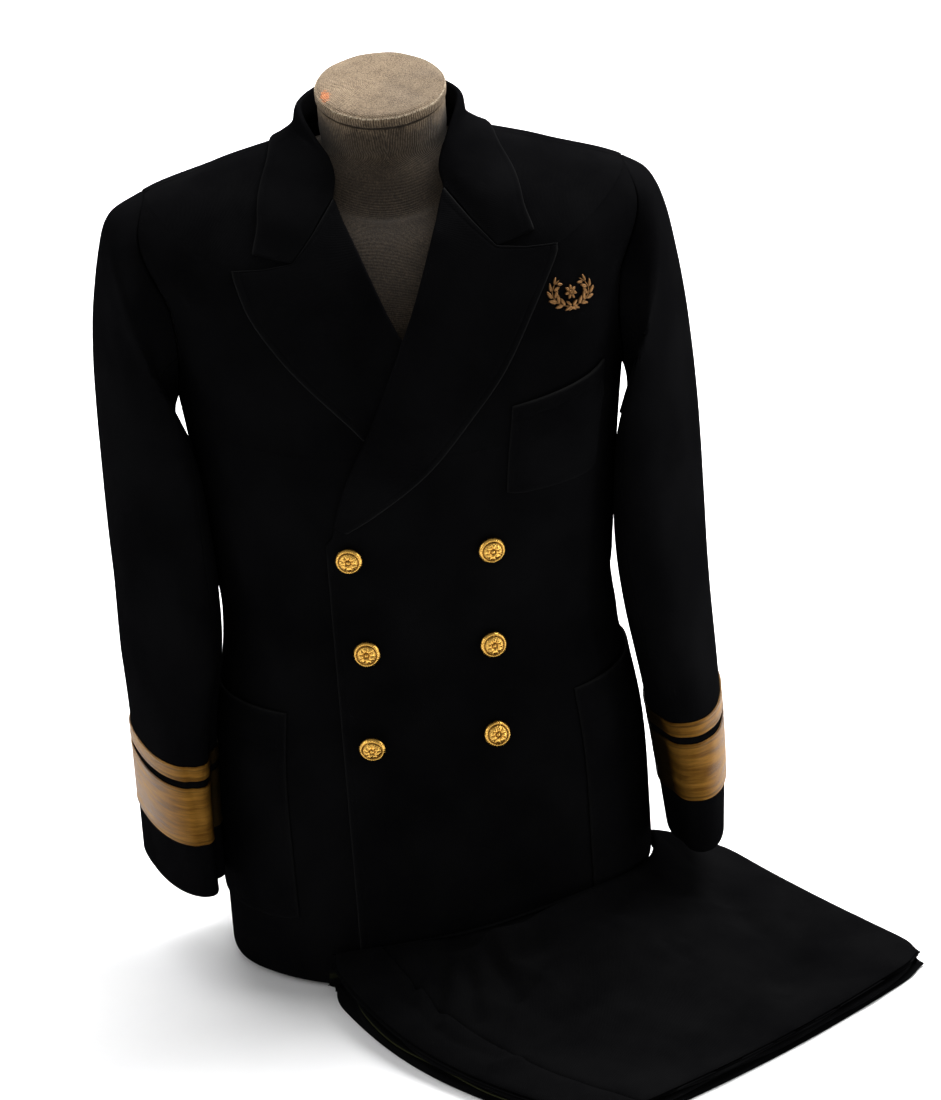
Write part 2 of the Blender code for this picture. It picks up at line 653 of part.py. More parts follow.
def collar_section(share):
    """One cross-section of the collar, from its edge over the roll to the foot of its stand.

    share is 0 at the gorge and 1 at the middle of the back. Each place is a row, an angle and a lift.
    """
    corner = collar_end(0.0)
    edge_row, edge_angle = along((corner,) + COLLAR_EDGE, share)
    neck_angle = angle_at(NECK_RING, roll_x(NECK_RING))
    if share < COLLAR_TURN:
        end_row = collar_end(1.0)[0]
        row = end_row + (NECK_RING - end_row) * share / COLLAR_TURN
        angle = angle_at(row, roll_x(row))
    else:
        row = NECK_RING
        angle = neck_angle + (180.0 - neck_angle) * (share - COLLAR_TURN) / (1 - COLLAR_TURN)
    neck = fade(share, *COLLAR_NECK_SHARES)
    stand = COLLAR_STAND * fade(share, *COLLAR_STAND_SHARES)
    lip = COLLAR_LIP * (1 - fade(share, *COLLAR_LIP_SHARES))
    foot = COLLAR_FOOT * fade(share, *COLLAR_FOOT_SHARES)
    flat = LAYER_GAP + CLOTH + COLLAR_EDGE_LIFT
    roll_lift = flat + (COLLAR_ROLL - flat) * neck
    places = [(edge_row, edge_angle, flat)]
    bow = (1 - share) ** GORGE_FADE
    for part in (1 / 3, 2 / 3):
        end_row, end_angle = collar_end(part)
        fall_row = edge_row + (row + stand - edge_row) * part
        fall_angle = edge_angle + (angle - edge_angle) * part
        place_row = fall_row + bow * (end_row - fall_row)
        place_angle = fall_angle + bow * (end_angle - fall_angle)
        places.append((place_row, place_angle, flat + (roll_lift - flat) * part + COLLAR_BULGE))
    for height, with_foot, turn, lift in COLLAR_STAND_SECTION:
        places.append((row + height * stand + with_foot * foot, angle - turn * lip, lift * roll_lift))
    places.append((row + foot, angle - COLLAR_FOOT_LIP * lip, COLLAR_TUCK * (1 - neck)))
    return places


def collar(name, finish):
    """The collar, turned over its stand, from one gorge round the neck to the other."""
    outer = []
    for k in range(-COLLAR_CELLS // 2, COLLAR_CELLS // 2 + 1):
        side = 1.0 if k >= 0 else -1.0
        places = collar_section(1.0 - abs(k) / (COLLAR_CELLS / 2))
        line = []
        for row, angle, lift in places:
            base = left_lift(angle) if side > 0 else 0.0
            line.append(body(row, side * angle, lift + base))
        outer.append(line)
    grid = np.array(outer)
    along_it = np.gradient(grid, axis=0)
    across_it = np.gradient(grid, axis=1)
    normals = np.cross(along_it, across_it)
    normals /= np.linalg.norm(normals, axis=2, keepdims=True)
    middle = normals[COLLAR_CELLS // 2, 1]
    if middle[1] < 0:
        normals = -normals
    inner = grid - CLOTH * normals
    return wall(name, grid.tolist(), inner.tolist(), finish)


def sleeve_row_at(height):
    """Row of the sleeve's lower part at a height above the floor."""
    low, high = LACE_TOP_ROW, len(SLEEVE_RINGS) - 1.0
    for _ in range(SEARCH_STEPS):
        row = (low + high) / 2
        if smooth_value(SLEEVE["z_out"], row) > height:
            low = row
        else:
            high = row
    return row


def lace_heights(above, width):
    """Heights of a stripe's lower edge, middle and upper edge."""
    cuff = SLEEVE["z_out"][-1]
    return [cuff + above + width * share for share in (0.0, 0.5, 1.0)]


def sleeve_rows():
    """Rows of the sleeve's points, with rows of their own at the lace's edges."""
    heights = []
    for stripe in LACE:
        heights.extend(lace_heights(stripe["above"], stripe["width"]))
    lower_rows = [sleeve_row_at(height) for height in sorted(heights, reverse=True)]
    return list(UPPER_SLEEVE_ROWS) + lower_rows + [float(len(SLEEVE_RINGS) - 1)]


def sleeve_piece(side, name, first, last, finish):
    """One piece of a sleeve between two of its seams, from the armhole to the cuff."""
    outer, inner = [], []
    for row in sleeve_rows():
        outer_line, inner_line = [], []
        for k in range(first, last + 1):
            turn = k * ARM_TURN
            if k in (first, last):
                step = sleeve(side, row, turn + HALF_DEGREE) - sleeve(side, row, turn - HALF_DEGREE)
                seam = sleeve(side, row + ROW_STEP, turn) - sleeve(side, row - ROW_STEP, turn)
                across = np.linalg.norm(np.cross(step, seam)) / np.linalg.norm(seam)
                trim = SLEEVE_SEAM_SHARE * SEAM_GAP / float(across)
                turn += trim if k == first else -trim
            outer_line.append(sleeve(side, row, turn))
            inner_line.append(sleeve(side, row, turn, -CLOTH))
        outer.append(outer_line)
        inner.append(inner_line)
    return wall(name, outer, inner, finish)


def lace(side, name, above, width, finish):
    """A stripe of lace round a cuff, made from the sleeve's own points."""
    outer, inner = [], []
    for height in lace_heights(above, width):
        row = sleeve_row_at(height)
        turns = [k * ARM_TURN for k in range(2 * ARMHOLE_STEPS)]
        inner.append([sleeve(side, row, turn, LACE_LIFT) for turn in turns])
        outer.append([sleeve(side, row, turn, LACE_LIFT + LACE_THICKNESS) for turn in turns])
    return wall(name, outer, inner, finish, closed=True)


def pocket(shape, finish):
    """A patch pocket, laid on the jacket's front between four corners."""
    across_cells, down_cells = shape["cells"]
    outer, inner = [], []
    for i in range(down_cells + 1):
        down = i / down_cells
        outer_line, inner_line = [], []
        for j in range(across_cells + 1):
            across = j / across_cells
            top = [(1 - across) * a + across * b for a, b in zip(shape["top_front"], shape["top_back"])]
            low = [(1 - across) * a + across * b for a, b in zip(shape["bottom_front"], shape["bottom_back"])]
            row, angle = [(1 - down) * a + down * b for a, b in zip(top, low)]
            place = (shape["side"], row, shape["side"] * angle)
            inner_line.append(front_surface(*place, POCKET_LIFT))
            outer_line.append(front_surface(*place, POCKET_LIFT + CLOTH))
        outer.append(outer_line)
        inner.append(inner_line)
    return wall(shape["name"], outer, inner, finish)


def seat_on(cloth, row, angle):
    """Placing matrix on the left front's facet at a place: its Z points out and its Y up."""
    outside = Vector(front_surface(1, row, angle, SEAT_REACH))
    way = -Vector(outward(body_bare, row, angle))
    found, point, facet_normal, _ = cloth.ray_cast(outside, way)
    z_axis = facet_normal if found else -way
    x_axis = Vector((0.0, 0.0, 1.0)).cross(z_axis).normalized()
    y_axis = z_axis.cross(x_axis)
    turn = Matrix((x_axis, y_axis, z_axis)).transposed().to_4x4()
    return Matrix.Translation(point if found else outside) @ turn


def button(cloth, shape, finish):
    """A domed button on its shank; a loose one droops towards the floor."""
    lean = math.radians(shape["droop"])
    profile = [(SHANK_RADIUS, 0.0), (SHANK_RADIUS, shape["shank"])]
    profile += [(radius, height + shape["shank"]) for radius, height in BUTTON_PROFILE]
    lift = BUTTON_LIFT + SHANK_RADIUS * math.sin(lean)
    place = seat_on(cloth, shape["row"], shape["angle"])
    place = place @ Matrix.Translation((0.0, 0.0, lift)) @ Matrix.Rotation(lean, 4, "X")
    return turned("button_" + shape["name"], profile, BUTTON_SIDES, finish, place)


def badge_radius(turn):
    """Outline of the badge: leafy sprigs at the sides and below, open above, round a rosette."""
    sine, cosine = math.sin(turn), math.cos(turn)
    oval = 1.0 / math.hypot(cosine / BADGE_HALF_WIDTH, sine / BADGE_HALF_HEIGHT)
    leaves = oval * (1.0 - BADGE_LEAF_DEPTH * (1.0 - math.cos(BADGE_LEAVES * (turn + math.pi / 2))))
    from_top = abs((math.degrees(turn) - 90.0 + 180.0) % 360.0 - 180.0)
    return BADGE_ROSETTE + (leaves - BADGE_ROSETTE) * fade(from_top, *BADGE_OPENING)


def badge(name, finish):
    """The badge, a low relief that follows the cloth."""
    centre = body_bare(BADGE_ROW, BADGE_ANGLE)
    loops = []
    for high, share in BADGE_RINGS:
        ring = []
        for k in range(BADGE_POINTS):
            turn = 2 * math.pi * k / BADGE_POINTS
            radius = share * badge_radius(turn)
            across = radius * math.cos(turn)
            up = radius * math.sin(turn)
            row, angle = place_on_front(centre[0] + across * BADGE_TURN, centre[2] + up)
            ring.append(front_surface(1, row, angle, BADGE_LIFT + high * BADGE_THICKNESS))
        loops.append(ring)
    return loft(name, loops, finish)


def form_loops():
    """Loops of the dress form, from its base to the top of its neck."""
    turns = [360.0 * k / FORM_SIDES for k in range(FORM_SIDES)]
    loops = []
    for row in FORM_ROWS:
        clear = smooth_value(FORM_CLEAR, row)
        inset = CLOTH + clear
        loops.append([body_bare(row, t) - inset * outward(body_bare, row, t) for t in turns])
    for point in loops[0]:
        point[2] = 0.0
    for radius, below in NECK_RINGS:
        loop = []
        for turn in turns:
            x = radius * math.sin(math.radians(turn))
            y = -radius * math.cos(math.radians(turn))
            tilt = NECK_TILT * (1.0 - below / NECK_HEIGHT)
            loop.append(np.array((x + NECK_X, y + NECK_Y, NECK_TOP - below + y * math.tan(tilt))))
        loops.append(loop)
    return loops


def neck_cap_place():
    """Placing matrix of the cap that closes the form's neck."""
    lean = Matrix.Rotation(NECK_TILT, 4, "X")
    return Matrix.Translation((NECK_X, NECK_Y, NECK_TOP + CAP_GAP)) @ lean


def hem_point(angle, clear):
    """Point on the floor beside the jacket's hem."""
    point = body(0.0, angle, clear)
    return np.array((point[0], point[1]))


def stack_near(share):
    """Near edge of the trousers' stack, from the waist to the fold."""
    start, end = np.array(TROUSER_WAIST_NEAR), np.array(TROUSER_FOLD_NEAR)
    run = end - start
    out = np.array((run[1], -run[0])) / np.linalg.norm(run)
    return start + run * share + out * TROUSER_NEAR_BOW * math.sin(math.pi * share)


def stack_far(share):
    """Far edge of the trousers' stack: along the jacket's hem, then on to the far corner of the fold."""
    low, high = TROUSER_HEM_ANGLES
    if share <= TROUSER_HEM_SHARE:
        return hem_point(low + (high - low) * share / TROUSER_HEM_SHARE, TROUSER_HEM_CLEAR)
    start = hem_point(high, TROUSER_HEM_CLEAR)
    end = np.array(TROUSER_FOLD_FAR)
    return start + (end - start) * (share - TROUSER_HEM_SHARE) / (1 - TROUSER_HEM_SHARE)


def stack_height(share, across, point):
    """Height of the stack's top: low at the near edge and bunched up against the jacket."""
    places = column(STACK_HEIGHTS, "along")
    near = float(np.interp(share, places, column(STACK_HEIGHTS, "near")))
    far = float(np.interp(share, places, column(STACK_HEIGHTS, "far")))
    height = near + (far - near) * across**STACK_RISE
    rise_across, rise_along = CREASE_RISE
    inside = min(1.0, rise_across * min(across, 1 - across), rise_along * min(share, 1 - share))
    for crease in TROUSER_CREASES:
        start = np.array(crease["start"])
        run = np.array(crease["end"]) - start
        share_of_run = float(np.dot(point - start, run) / np.dot(run, run))
        nearest = start + run * min(max(share_of_run, 0.0), 1.0)
        distance = float(np.linalg.norm(point - nearest))
        height += inside * crease["height"] * math.exp(-((distance / crease["half_width"]) ** 2))
    return height


def waist_bow(share, across):
    """How far the waist end bows out from the straight line between its corners."""
    end = stack_far(0.0) - stack_near(0.0)
    out = np.array((-end[1], end[0])) / np.linalg.norm(end)
    return out * TROUSER_WAIST_BOW * math.sin(math.pi * across) * (1 - share) ** TROUSER_BOW_FADE


def stack_grid():
    """Points of the stack's top: rows from the waist to the fold, each from the near edge to the far one."""
    grid = []
    for share in TROUSER_ALONG:
        line = []
        for across in TROUSER_ACROSS:
            point = (1 - across) * stack_near(share) + across * stack_far(share)
            point = point + waist_bow(share, across)
            line.append(np.array((*point, stack_height(share, across, point))))
        grid.append(line)
    return grid


def rim_of(grid):
    """The outer loop of a grid of points, as pairs of places in it."""
    rows, columns = len(grid), len(grid[0])
    rim = [(i, 0) for i in range(rows)]
    rim += [(rows - 1, j) for j in range(1, columns)]
    rim += [(i, columns - 1) for i in range(rows - 2, -1, -1)]
    rim += [(0, j) for j in range(columns - 2, 0, -1)]
    return rim


def trousers_core(name, grid, finish):
    """The folded layers as one solid, flat underneath and stepped where the layers' edges show."""
    rows, columns = len(grid), len(grid[0])
    rim = rim_of(grid)
    points = [np.array(point) for line in grid for point in line]
    faces = []
    for i in range(rows - 1):
        for j in range(columns - 1):
            a = i * columns + j
            faces.append((a, a + 1, a + 1 + columns, a + columns))
    flat = [grid[i][j][:2] for i, j in rim]
    ways = []
    for k, place in enumerate(flat):
        chord = flat[(k + 1) % len(flat)] - flat[k - 1]
        way = np.array((chord[1], -chord[0]))
        ways.append(way / np.linalg.norm(way))
    above = [i * columns + j for i, j in rim]
    for (i, j), way in zip(rim, ways):
        points[i * columns + j][:2] += STACK_EDGE[-1][1] * way
    for share, out in reversed(STACK_EDGE[:-1]):
        start = len(points)
        for (i, j), place, way in zip(rim, flat, ways):
            points.append(np.array((*(place + out * way), share * grid[i][j][2])))
        level = list(range(start, len(points)))
        for k in range(len(rim)):
            after = (k + 1) % len(rim)
            faces.append((above[k], above[after], level[after], level[k]))
        above = level
    faces.append(tuple(above))
    return add_object(name, points, faces, finish)


def top_layer(name, grid, first, last, finish):
    """A layer of cloth on the stack, made from its top points moved up."""
    lines = [line[TOP_LAYER_MARGIN:-TOP_LAYER_MARGIN] for line in grid[first:last + 1]]
    cells = np.array(lines)
    if first == TOP_ROWS[0]:
        step = cells[1] - cells[0]
        cells[0] = cells[0] + step * SEAM_GAP / np.linalg.norm(step, axis=1, keepdims=True)
    low = cells + np.array((0.0, 0.0, TOP_LAYER_GAP))
    high = low + np.array((0.0, 0.0, CLOTH))
    return wall(name, high.tolist(), low.tolist(), finish)


def clear_scene():
    """Remove whatever the scene already holds."""
    for item in list(bpy.data.objects):
        bpy.data.objects.remove(item, do_unlink=True)


def build_jacket():
    """Every piece of the jacket."""
    cloth = material("navy_wool", (0.012, 0.013, 0.021), 0.85)
    gold_lace = material("gold_lace", (0.40, 0.27, 0.10), 0.5, 0.5)
    gilt = material("gilt", (0.83, 0.60, 0.22), 0.28, 1.0)
    bullion = material("bullion", (0.45, 0.34, 0.17), 0.55, 0.4)
    first, last = SLEEVE_SEAMS
    for side, word in ((1, "left"), (-1, "right")):
        front_panel(side, f"{word}_front", cloth)
        back_panel(side, f"{word}_back", cloth)
        lapel(side, f"{word}_lapel", cloth)
        sleeve_piece(side, f"{word}_top_sleeve", -first, first, cloth)
        sleeve_piece(side, f"{word}_under_sleeve", first, last, cloth)
        for stripe in LACE:
            lace(side, f"{word}_{stripe['size']}_lace", stripe["above"], stripe["width"], gold_lace)
    collar("collar", cloth)
    for shape in POCKETS:
        pocket(shape, cloth)
    bpy.context.view_layer.update()
    cloth_under = bpy.data.objects["left_front"]
    for shape in BUTTONS:
        button(cloth_under, shape, gilt)
    badge("badge", bullion)


def build_form():
    """The dress form and the cap on its neck."""
    knit = material("form_knit", (0.33, 0.30, 0.26), 0.9)
    loft("form_torso", form_loops(), knit)
    turned("form_neck_cap", CAP_PROFILE, FORM_SIDES, knit, neck_cap_place())


def build_trousers():
    """The folded trousers."""
    cloth = material("trouser_wool", (0.011, 0.012, 0.019), 0.85)
    grid = stack_grid()
    trousers_core("trousers_folded_legs", grid, cloth)
    top_layer("trousers_waistband", grid, *WAISTBAND_ROWS, cloth)
    top_layer("trousers_front", grid, *TOP_ROWS, cloth)


clear_scene()
build_jacket()
build_form()
build_trousers()
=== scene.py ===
"""Looks of the dress uniform: fine cloth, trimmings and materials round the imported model."""

import math

import bmesh
import bpy
import numpy as np
from mathutils import Matrix, Vector


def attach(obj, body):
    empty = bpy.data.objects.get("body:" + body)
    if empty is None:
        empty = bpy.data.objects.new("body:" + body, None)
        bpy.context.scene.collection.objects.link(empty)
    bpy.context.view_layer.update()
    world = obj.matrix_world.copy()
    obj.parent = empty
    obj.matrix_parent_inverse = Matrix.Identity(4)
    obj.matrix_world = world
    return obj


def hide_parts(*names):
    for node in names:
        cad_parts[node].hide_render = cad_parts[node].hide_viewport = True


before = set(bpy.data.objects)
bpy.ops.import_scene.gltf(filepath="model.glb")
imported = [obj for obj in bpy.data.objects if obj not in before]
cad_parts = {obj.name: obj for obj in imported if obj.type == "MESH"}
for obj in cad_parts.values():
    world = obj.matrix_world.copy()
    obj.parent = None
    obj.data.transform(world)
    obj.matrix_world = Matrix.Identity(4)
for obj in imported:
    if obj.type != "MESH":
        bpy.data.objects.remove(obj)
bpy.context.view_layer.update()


def table(names, *rows):
    """A table with named columns: one dictionary for each row."""
    return [dict(zip(names.split(), row)) for row in rows]


# Sizes and tables of the jacket, as in the part's source
CLOTH = 0.0020
LAYER_GAP = 0.0006
LAP_GAP = 0.0018
BODY_RINGS = table(
    "z_front z_side z_back half_width front back square",
    (0.0050, 0.0050, 0.0050, 0.183, 0.151, 0.130, 2.25),
    (0.1000, 0.1000, 0.1000, 0.183, 0.146, 0.128, 2.25),
    (0.1900, 0.1900, 0.1900, 0.181, 0.139, 0.121, 2.25),
    (0.2900, 0.2900, 0.2900, 0.167, 0.126, 0.106, 2.25),
    (0.3750, 0.3750, 0.3750, 0.172, 0.131, 0.110, 2.30),
    (0.4450, 0.4550, 0.4500, 0.180, 0.139, 0.120, 2.35),
    (0.4900, 0.5300, 0.5050, 0.190, 0.140, 0.124, 2.40),
    (0.5350, 0.6000, 0.5600, 0.201, 0.134, 0.123, 2.45),
    (0.5800, 0.6560, 0.6150, 0.211, 0.121, 0.114, 2.45),
    (0.6320, 0.6850, 0.6680, 0.140, 0.098, 0.094, 2.20),
    (0.6680, 0.7080, 0.7060, 0.069, 0.068, 0.062, 2.00),
    (0.7000, 0.7330, 0.7440, 0.063, 0.063, 0.059, 2.00),
)
NECK_RING = 10.0
BODY_FOLDS = table(
    "angle low high spread lean height",
    (64.0, -1.5, 2.6, 13.0, 5.0, 0.0030),
    (-66.0, -1.5, 2.4, 14.0, -6.0, 0.0030),
    (122.0, -1.5, 3.2, 11.0, -9.0, 0.0040),
    (147.0, -1.5, 2.8, 10.0, 4.0, -0.0035),
    (-126.0, -1.5, 3.0, 12.0, 8.0, 0.0040),
    (-152.0, -1.5, 3.4, 10.0, -3.0, -0.0030),
    (118.0, 4.6, 7.6, 10.0, 12.0, -0.0040),
    (-120.0, 4.4, 7.4, 10.0, -12.0, -0.0040),
    (-86.0, 6.4, 10.9, 34.0, 0.0, 0.0045),
)
# Soft creases of the cloth from wear: ends as row and angle of the body, bow and half width in metres.
BODY_CREASES = table(
    "start end bow half_width height",
    ((1.78, -14.0), (1.36, 7.0), -0.006, 0.0075, -0.0015),
    ((1.70, -11.0), (1.24, 9.0), -0.006, 0.0090, 0.0009),
    ((1.95, 6.0), (1.52, 36.0), -0.008, 0.0085, -0.0014),
    ((1.82, 8.0), (1.40, 34.0), -0.008, 0.0100, 0.0010),
    ((0.90, 4.0), (0.55, 22.0), -0.004, 0.0110, -0.0010),
    ((3.30, 34.0), (2.90, 74.0), 0.006, 0.0120, -0.0012),
    ((3.50, 58.0), (3.25, 96.0), 0.004, 0.0090, -0.0016),
    ((2.95, 66.0), (2.85, 98.0), -0.004, 0.0100, 0.0012),
    ((3.45, -52.0), (3.15, -92.0), 0.005, 0.0100, -0.0015),
    ((2.90, -40.0), (2.75, -84.0), -0.005, 0.0120, 0.0010),
    ((5.60, 58.0), (6.90, 44.0), 0.010, 0.0150, -0.0022),
    ((5.20, 70.0), (5.75, 50.0), 0.006, 0.0120, 0.0014),
    ((5.60, -60.0), (6.80, -46.0), -0.010, 0.0150, -0.0020),
    ((7.35, 40.0), (8.10, 54.0), 0.004, 0.0130, -0.0010),
    ((7.60, -44.0), (8.15, -58.0), 0.004, 0.0140, -0.0012),
    ((3.50, 112.0), (3.10, 150.0), 0.006, 0.0110, -0.0018),
    ((3.10, 110.0), (2.80, 146.0), 0.004, 0.0120, 0.0013),
    ((3.55, -116.0), (3.20, -158.0), 0.007, 0.0120, -0.0017),
    ((3.05, -112.0), (2.85, -150.0), 0.003, 0.0120, 0.0012),
    ((5.70, 132.0), (6.70, 152.0), 0.008, 0.0140, -0.0018),
    ((5.50, -136.0), (6.60, -158.0), -0.006, 0.0150, -0.0016),
    ((1.60, 160.0), (1.10, -168.0), 0.004, 0.0130, -0.0009),
)
LAP = 0.074
LAP_FADE_ANGLES = (36.0, 66.0)
BREAK_ROW = 4.30
ROLL_LINE = (
    (4.30, -0.0700), (5.90, -0.0350), (7.54, 0.0000), (8.65, 0.0245), (9.35, 0.0390), (10.00, 0.0535),
)
SIDE_SEAM_LOW = 106.0
SHOULDER_SEAM = 90.0
ARMHOLE_ROW = 6.90
ARMHOLE_ROWS = 1.40
ARMHOLE_SEAM_ANGLE = 97.0
ARMHOLE_SPREAD = 31.0
GORGE = ((0.0450, 0.6680), (0.0630, 0.6470), (0.0820, 0.6265))
LAPEL_TOP = ((0.1060, 0.6235), (0.1310, 0.6235))
COLLAR_CORNER = (0.1130, 0.6350)
LEFT_LAPEL_EDGE = (
    (-0.0560, 0.4080), (-0.0280, 0.4260), (0.0120, 0.4560), (0.0490, 0.4960),
    (0.0800, 0.5330), (0.1070, 0.5780), (0.1280, 0.6130), (0.1310, 0.6235),
)
RIGHT_LAPEL_EDGE = (
    (-0.0370, 0.4860), (-0.0480, 0.4990), (-0.0640, 0.5160), (-0.0830, 0.5360),
    (-0.1000, 0.5570), (-0.1200, 0.5880), (-0.1290, 0.6130), (-0.1310, 0.6235),
)
LAPEL_ROLL_TOP = 9.62
LAPEL_END = 0.06
GORGE_REACH = 6
COLLAR_EDGE = (
    (8.90, 44.5), (9.22, 56.0), (9.50, 70.0), (9.62, 84.0), (9.64, 100.0),
    (9.60, 118.0), (9.55, 138.0), (9.52, 160.0), (9.52, 180.0),
)
COLLAR_LIP = 3.6
COLLAR_STAND = 0.92
COLLAR_TURN = 0.22
COLLAR_FOOT = 0.035
COLLAR_ROLL = 0.0062
COLLAR_BULGE = 0.0032
COLLAR_EDGE_LIFT = 0.0012
COLLAR_TUCK = -0.0012
COLLAR_END_LIP = 0.40
GORGE_FADE = 8
COLLAR_STAND_SECTION = ((0.93, 0, 0.30, 1.00), (1.03, 1, 1.00, 0.55), (0.90, 1, 1.20, 0.00))
COLLAR_FOOT_LIP = 1.25
SLEEVE_RINGS = table(
    "left_in left_out left_skew right_in right_out right_skew z_in z_out y_front y_back square",
    (0.1870, 0.2070, 0.000, 0.1870, 0.2090, 0.000, 0.4970, 0.6630, -0.086, 0.072, 2.0),
    (0.1895, 0.2225, 0.003, 0.1900, 0.2325, 0.003, 0.4860, 0.6500, -0.090, 0.078, 2.1),
    (0.1890, 0.2310, 0.010, 0.1890, 0.2395, 0.011, 0.4700, 0.6180, -0.092, 0.081, 2.2),
    (0.1860, 0.2345, 0.022, 0.1860, 0.2420, 0.024, 0.4500, 0.5700, -0.093, 0.082, 2.2),
    (0.1825, 0.2395, 0.026, 0.1820, 0.2465, 0.026, 0.4260, 0.5060, -0.092, 0.082, 2.2),
    (0.1790, 0.2430, 0.026, 0.1782, 0.2500, 0.025, 0.3920, 0.4320, -0.091, 0.080, 2.3),
    (0.1760, 0.2445, 0.024, 0.1755, 0.2515, 0.025, 0.3500, 0.3620, -0.092, 0.076, 2.3),
    (0.1770, 0.2470, 0.018, 0.1755, 0.2480, 0.027, 0.2900, 0.2920, -0.095, 0.069, 2.3),
    (0.1855, 0.2515, 0.010, 0.1835, 0.2475, 0.020, 0.2150, 0.2150, -0.099, 0.060, 2.4),
    (0.1920, 0.2525, 0.006, 0.1870, 0.2465, 0.020, 0.1500, 0.1500, -0.103, 0.051, 2.4),
    (0.1985, 0.2480, 0.004, 0.1880, 0.2450, 0.022, 0.0830, 0.0830, -0.106, 0.044, 2.4),
)
SLEEVE_SEAM_TURNS = (112.5, 247.5)
SLEEVE_BLEND_ROWS = 2.5
SLEEVE_FOLDS = table(
    "side angle low high spread lean height",
    (-1, 128.0, 6.0, 13.5, 25.0, 0.0, -0.0230),
    (1, 128.0, 6.4, 13.5, 26.0, 0.0, -0.0120),
    (-1, 60.0, 3.4, 6.6, 26.0, 40.0, -0.0060),
    (1, 70.0, 3.6, 6.8, 24.0, -36.0, -0.0060),
    (-1, -60.0, 3.8, 7.4, 26.0, 30.0, -0.0070),
    (1, -66.0, 3.6, 7.2, 26.0, -30.0, -0.0070),
)
# Creases of the sleeves: ends as row and turn, bow and half width in metres.
SLEEVE_CREASES = table(
    "side start end bow half_width height",
    (1, (0.6, 96.0), (3.4, 128.0), 0.010, 0.0100, -0.0026),
    (1, (0.9, 66.0), (2.6, 92.0), 0.008, 0.0130, 0.0014),
    (1, (5.0, 120.0), (5.7, 62.0), 0.004, 0.0080, -0.0020),
    (1, (5.6, 124.0), (6.0, 76.0), -0.003, 0.0070, 0.0014),
    (1, (5.2, -30.0), (6.2, -84.0), 0.004, 0.0110, -0.0022),
    (1, (8.2, 40.0), (9.3, 96.0), 0.004, 0.0100, -0.0010),
    (1, (0.6, -78.0), (2.9, -116.0), 0.010, 0.0120, -0.0024),
    (1, (2.4, 178.0), (3.2, 140.0), 0.004, 0.0100, -0.0020),
    (-1, (0.6, 92.0), (3.2, 126.0), 0.010, 0.0100, -0.0026),
    (-1, (5.1, 118.0), (5.9, 58.0), 0.004, 0.0090, -0.0022),
    (-1, (6.2, 112.0), (6.8, 46.0), -0.004, 0.0100, -0.0016),
    (-1, (7.6, 70.0), (9.4, 88.0), 0.003, 0.0080, -0.0018),
    (-1, (5.0, -36.0), (6.1, -92.0), 0.004, 0.0110, -0.0024),
    (-1, (0.6, -76.0), (2.8, -118.0), 0.010, 0.0120, -0.0022),
    (-1, (2.3, 176.0), (3.3, 142.0), 0.004, 0.0100, -0.0018),
)
LACE = table("size above width", ("wide", 0.0470, 0.0508), ("narrow", 0.1042, 0.0127))
POCKETS = table(
    "name side top_front top_back bottom_back bottom_front hem",
    ("breast_pocket", 1, (6.17, 21.5), (6.05, 57.0), (4.70, 55.0), (4.72, 21.0), 0.012),
    ("left_lower_pocket", 1, (2.52, 41.0), (2.56, 101.0), (0.58, 99.0), (0.56, 40.0), 0.028),
    ("right_lower_pocket", -1, (2.52, 41.0), (2.56, 101.0), (0.58, 99.0), (0.56, 40.0), 0.028),
)
BUTTONS = table(
    "name row angle shank droop",
    ("right_top", 4.12, -15.9, 0.0018, 0.0),
    ("left_top", 4.10, 16.6, 0.0018, 0.0),
    ("right_middle", 3.10, -14.2, 0.0018, 0.0),
    ("left_middle", 3.08, 16.4, 0.0018, 0.0),
    ("right_bottom", 2.31, -13.8, 0.0046, 24.0),
    ("left_bottom", 2.31, 14.6, 0.0018, 0.0),
)
BUTTON_RADIUS = 0.01125
BADGE_ROW = 7.62
BADGE_ANGLE = 35.5
BADGE_TURN = 0.86
BADGE_HALF_WIDTH = 0.0255
BADGE_HALF_HEIGHT = 0.0175
FORM_CLEAR = (0.0150, 0.0150, 0.0140, 0.0110, 0.0090, 0.0070, 0.0050, 0.0036, 0.0026, 0.0032, 0.0054)
FORM_ROWS = (0.0, 0.9, 1.8, 2.6, 3.3, 4.1, 4.9, 5.6, 6.3, 7.0, 7.6, 8.1, 8.6, 9.1, 9.5, 9.75)
NECK_TILT = math.radians(17.0)
NECK_TOP = 0.7350
NECK_X = 0.0020
NECK_Y = 0.0020
NECK_HEIGHT = 0.0600
NECK_RINGS = ((0.0540, 0.0390), (0.0525, 0.0200), (0.0525, 0.0))
TROUSER_WAIST_NEAR = (0.098, -0.441)
TROUSER_FOLD_NEAR = (0.401, -0.192)
TROUSER_FOLD_FAR = (0.246, 0.052)
TROUSER_WAIST_BOW = 0.032
TROUSER_NEAR_BOW = 0.012
TROUSER_HEM_ANGLES = (-33.0, 94.0)
TROUSER_HEM_SHARE = 0.80
TROUSER_HEM_CLEAR = 0.0048
STACK_HEIGHTS = (
    (0.00, 0.014, 0.034), (0.20, 0.014, 0.052), (0.40, 0.014, 0.068), (0.60, 0.014, 0.066),
    (0.80, 0.014, 0.056), (0.90, 0.014, 0.040), (1.00, 0.013, 0.024),
)
STACK_RISE = 2.6
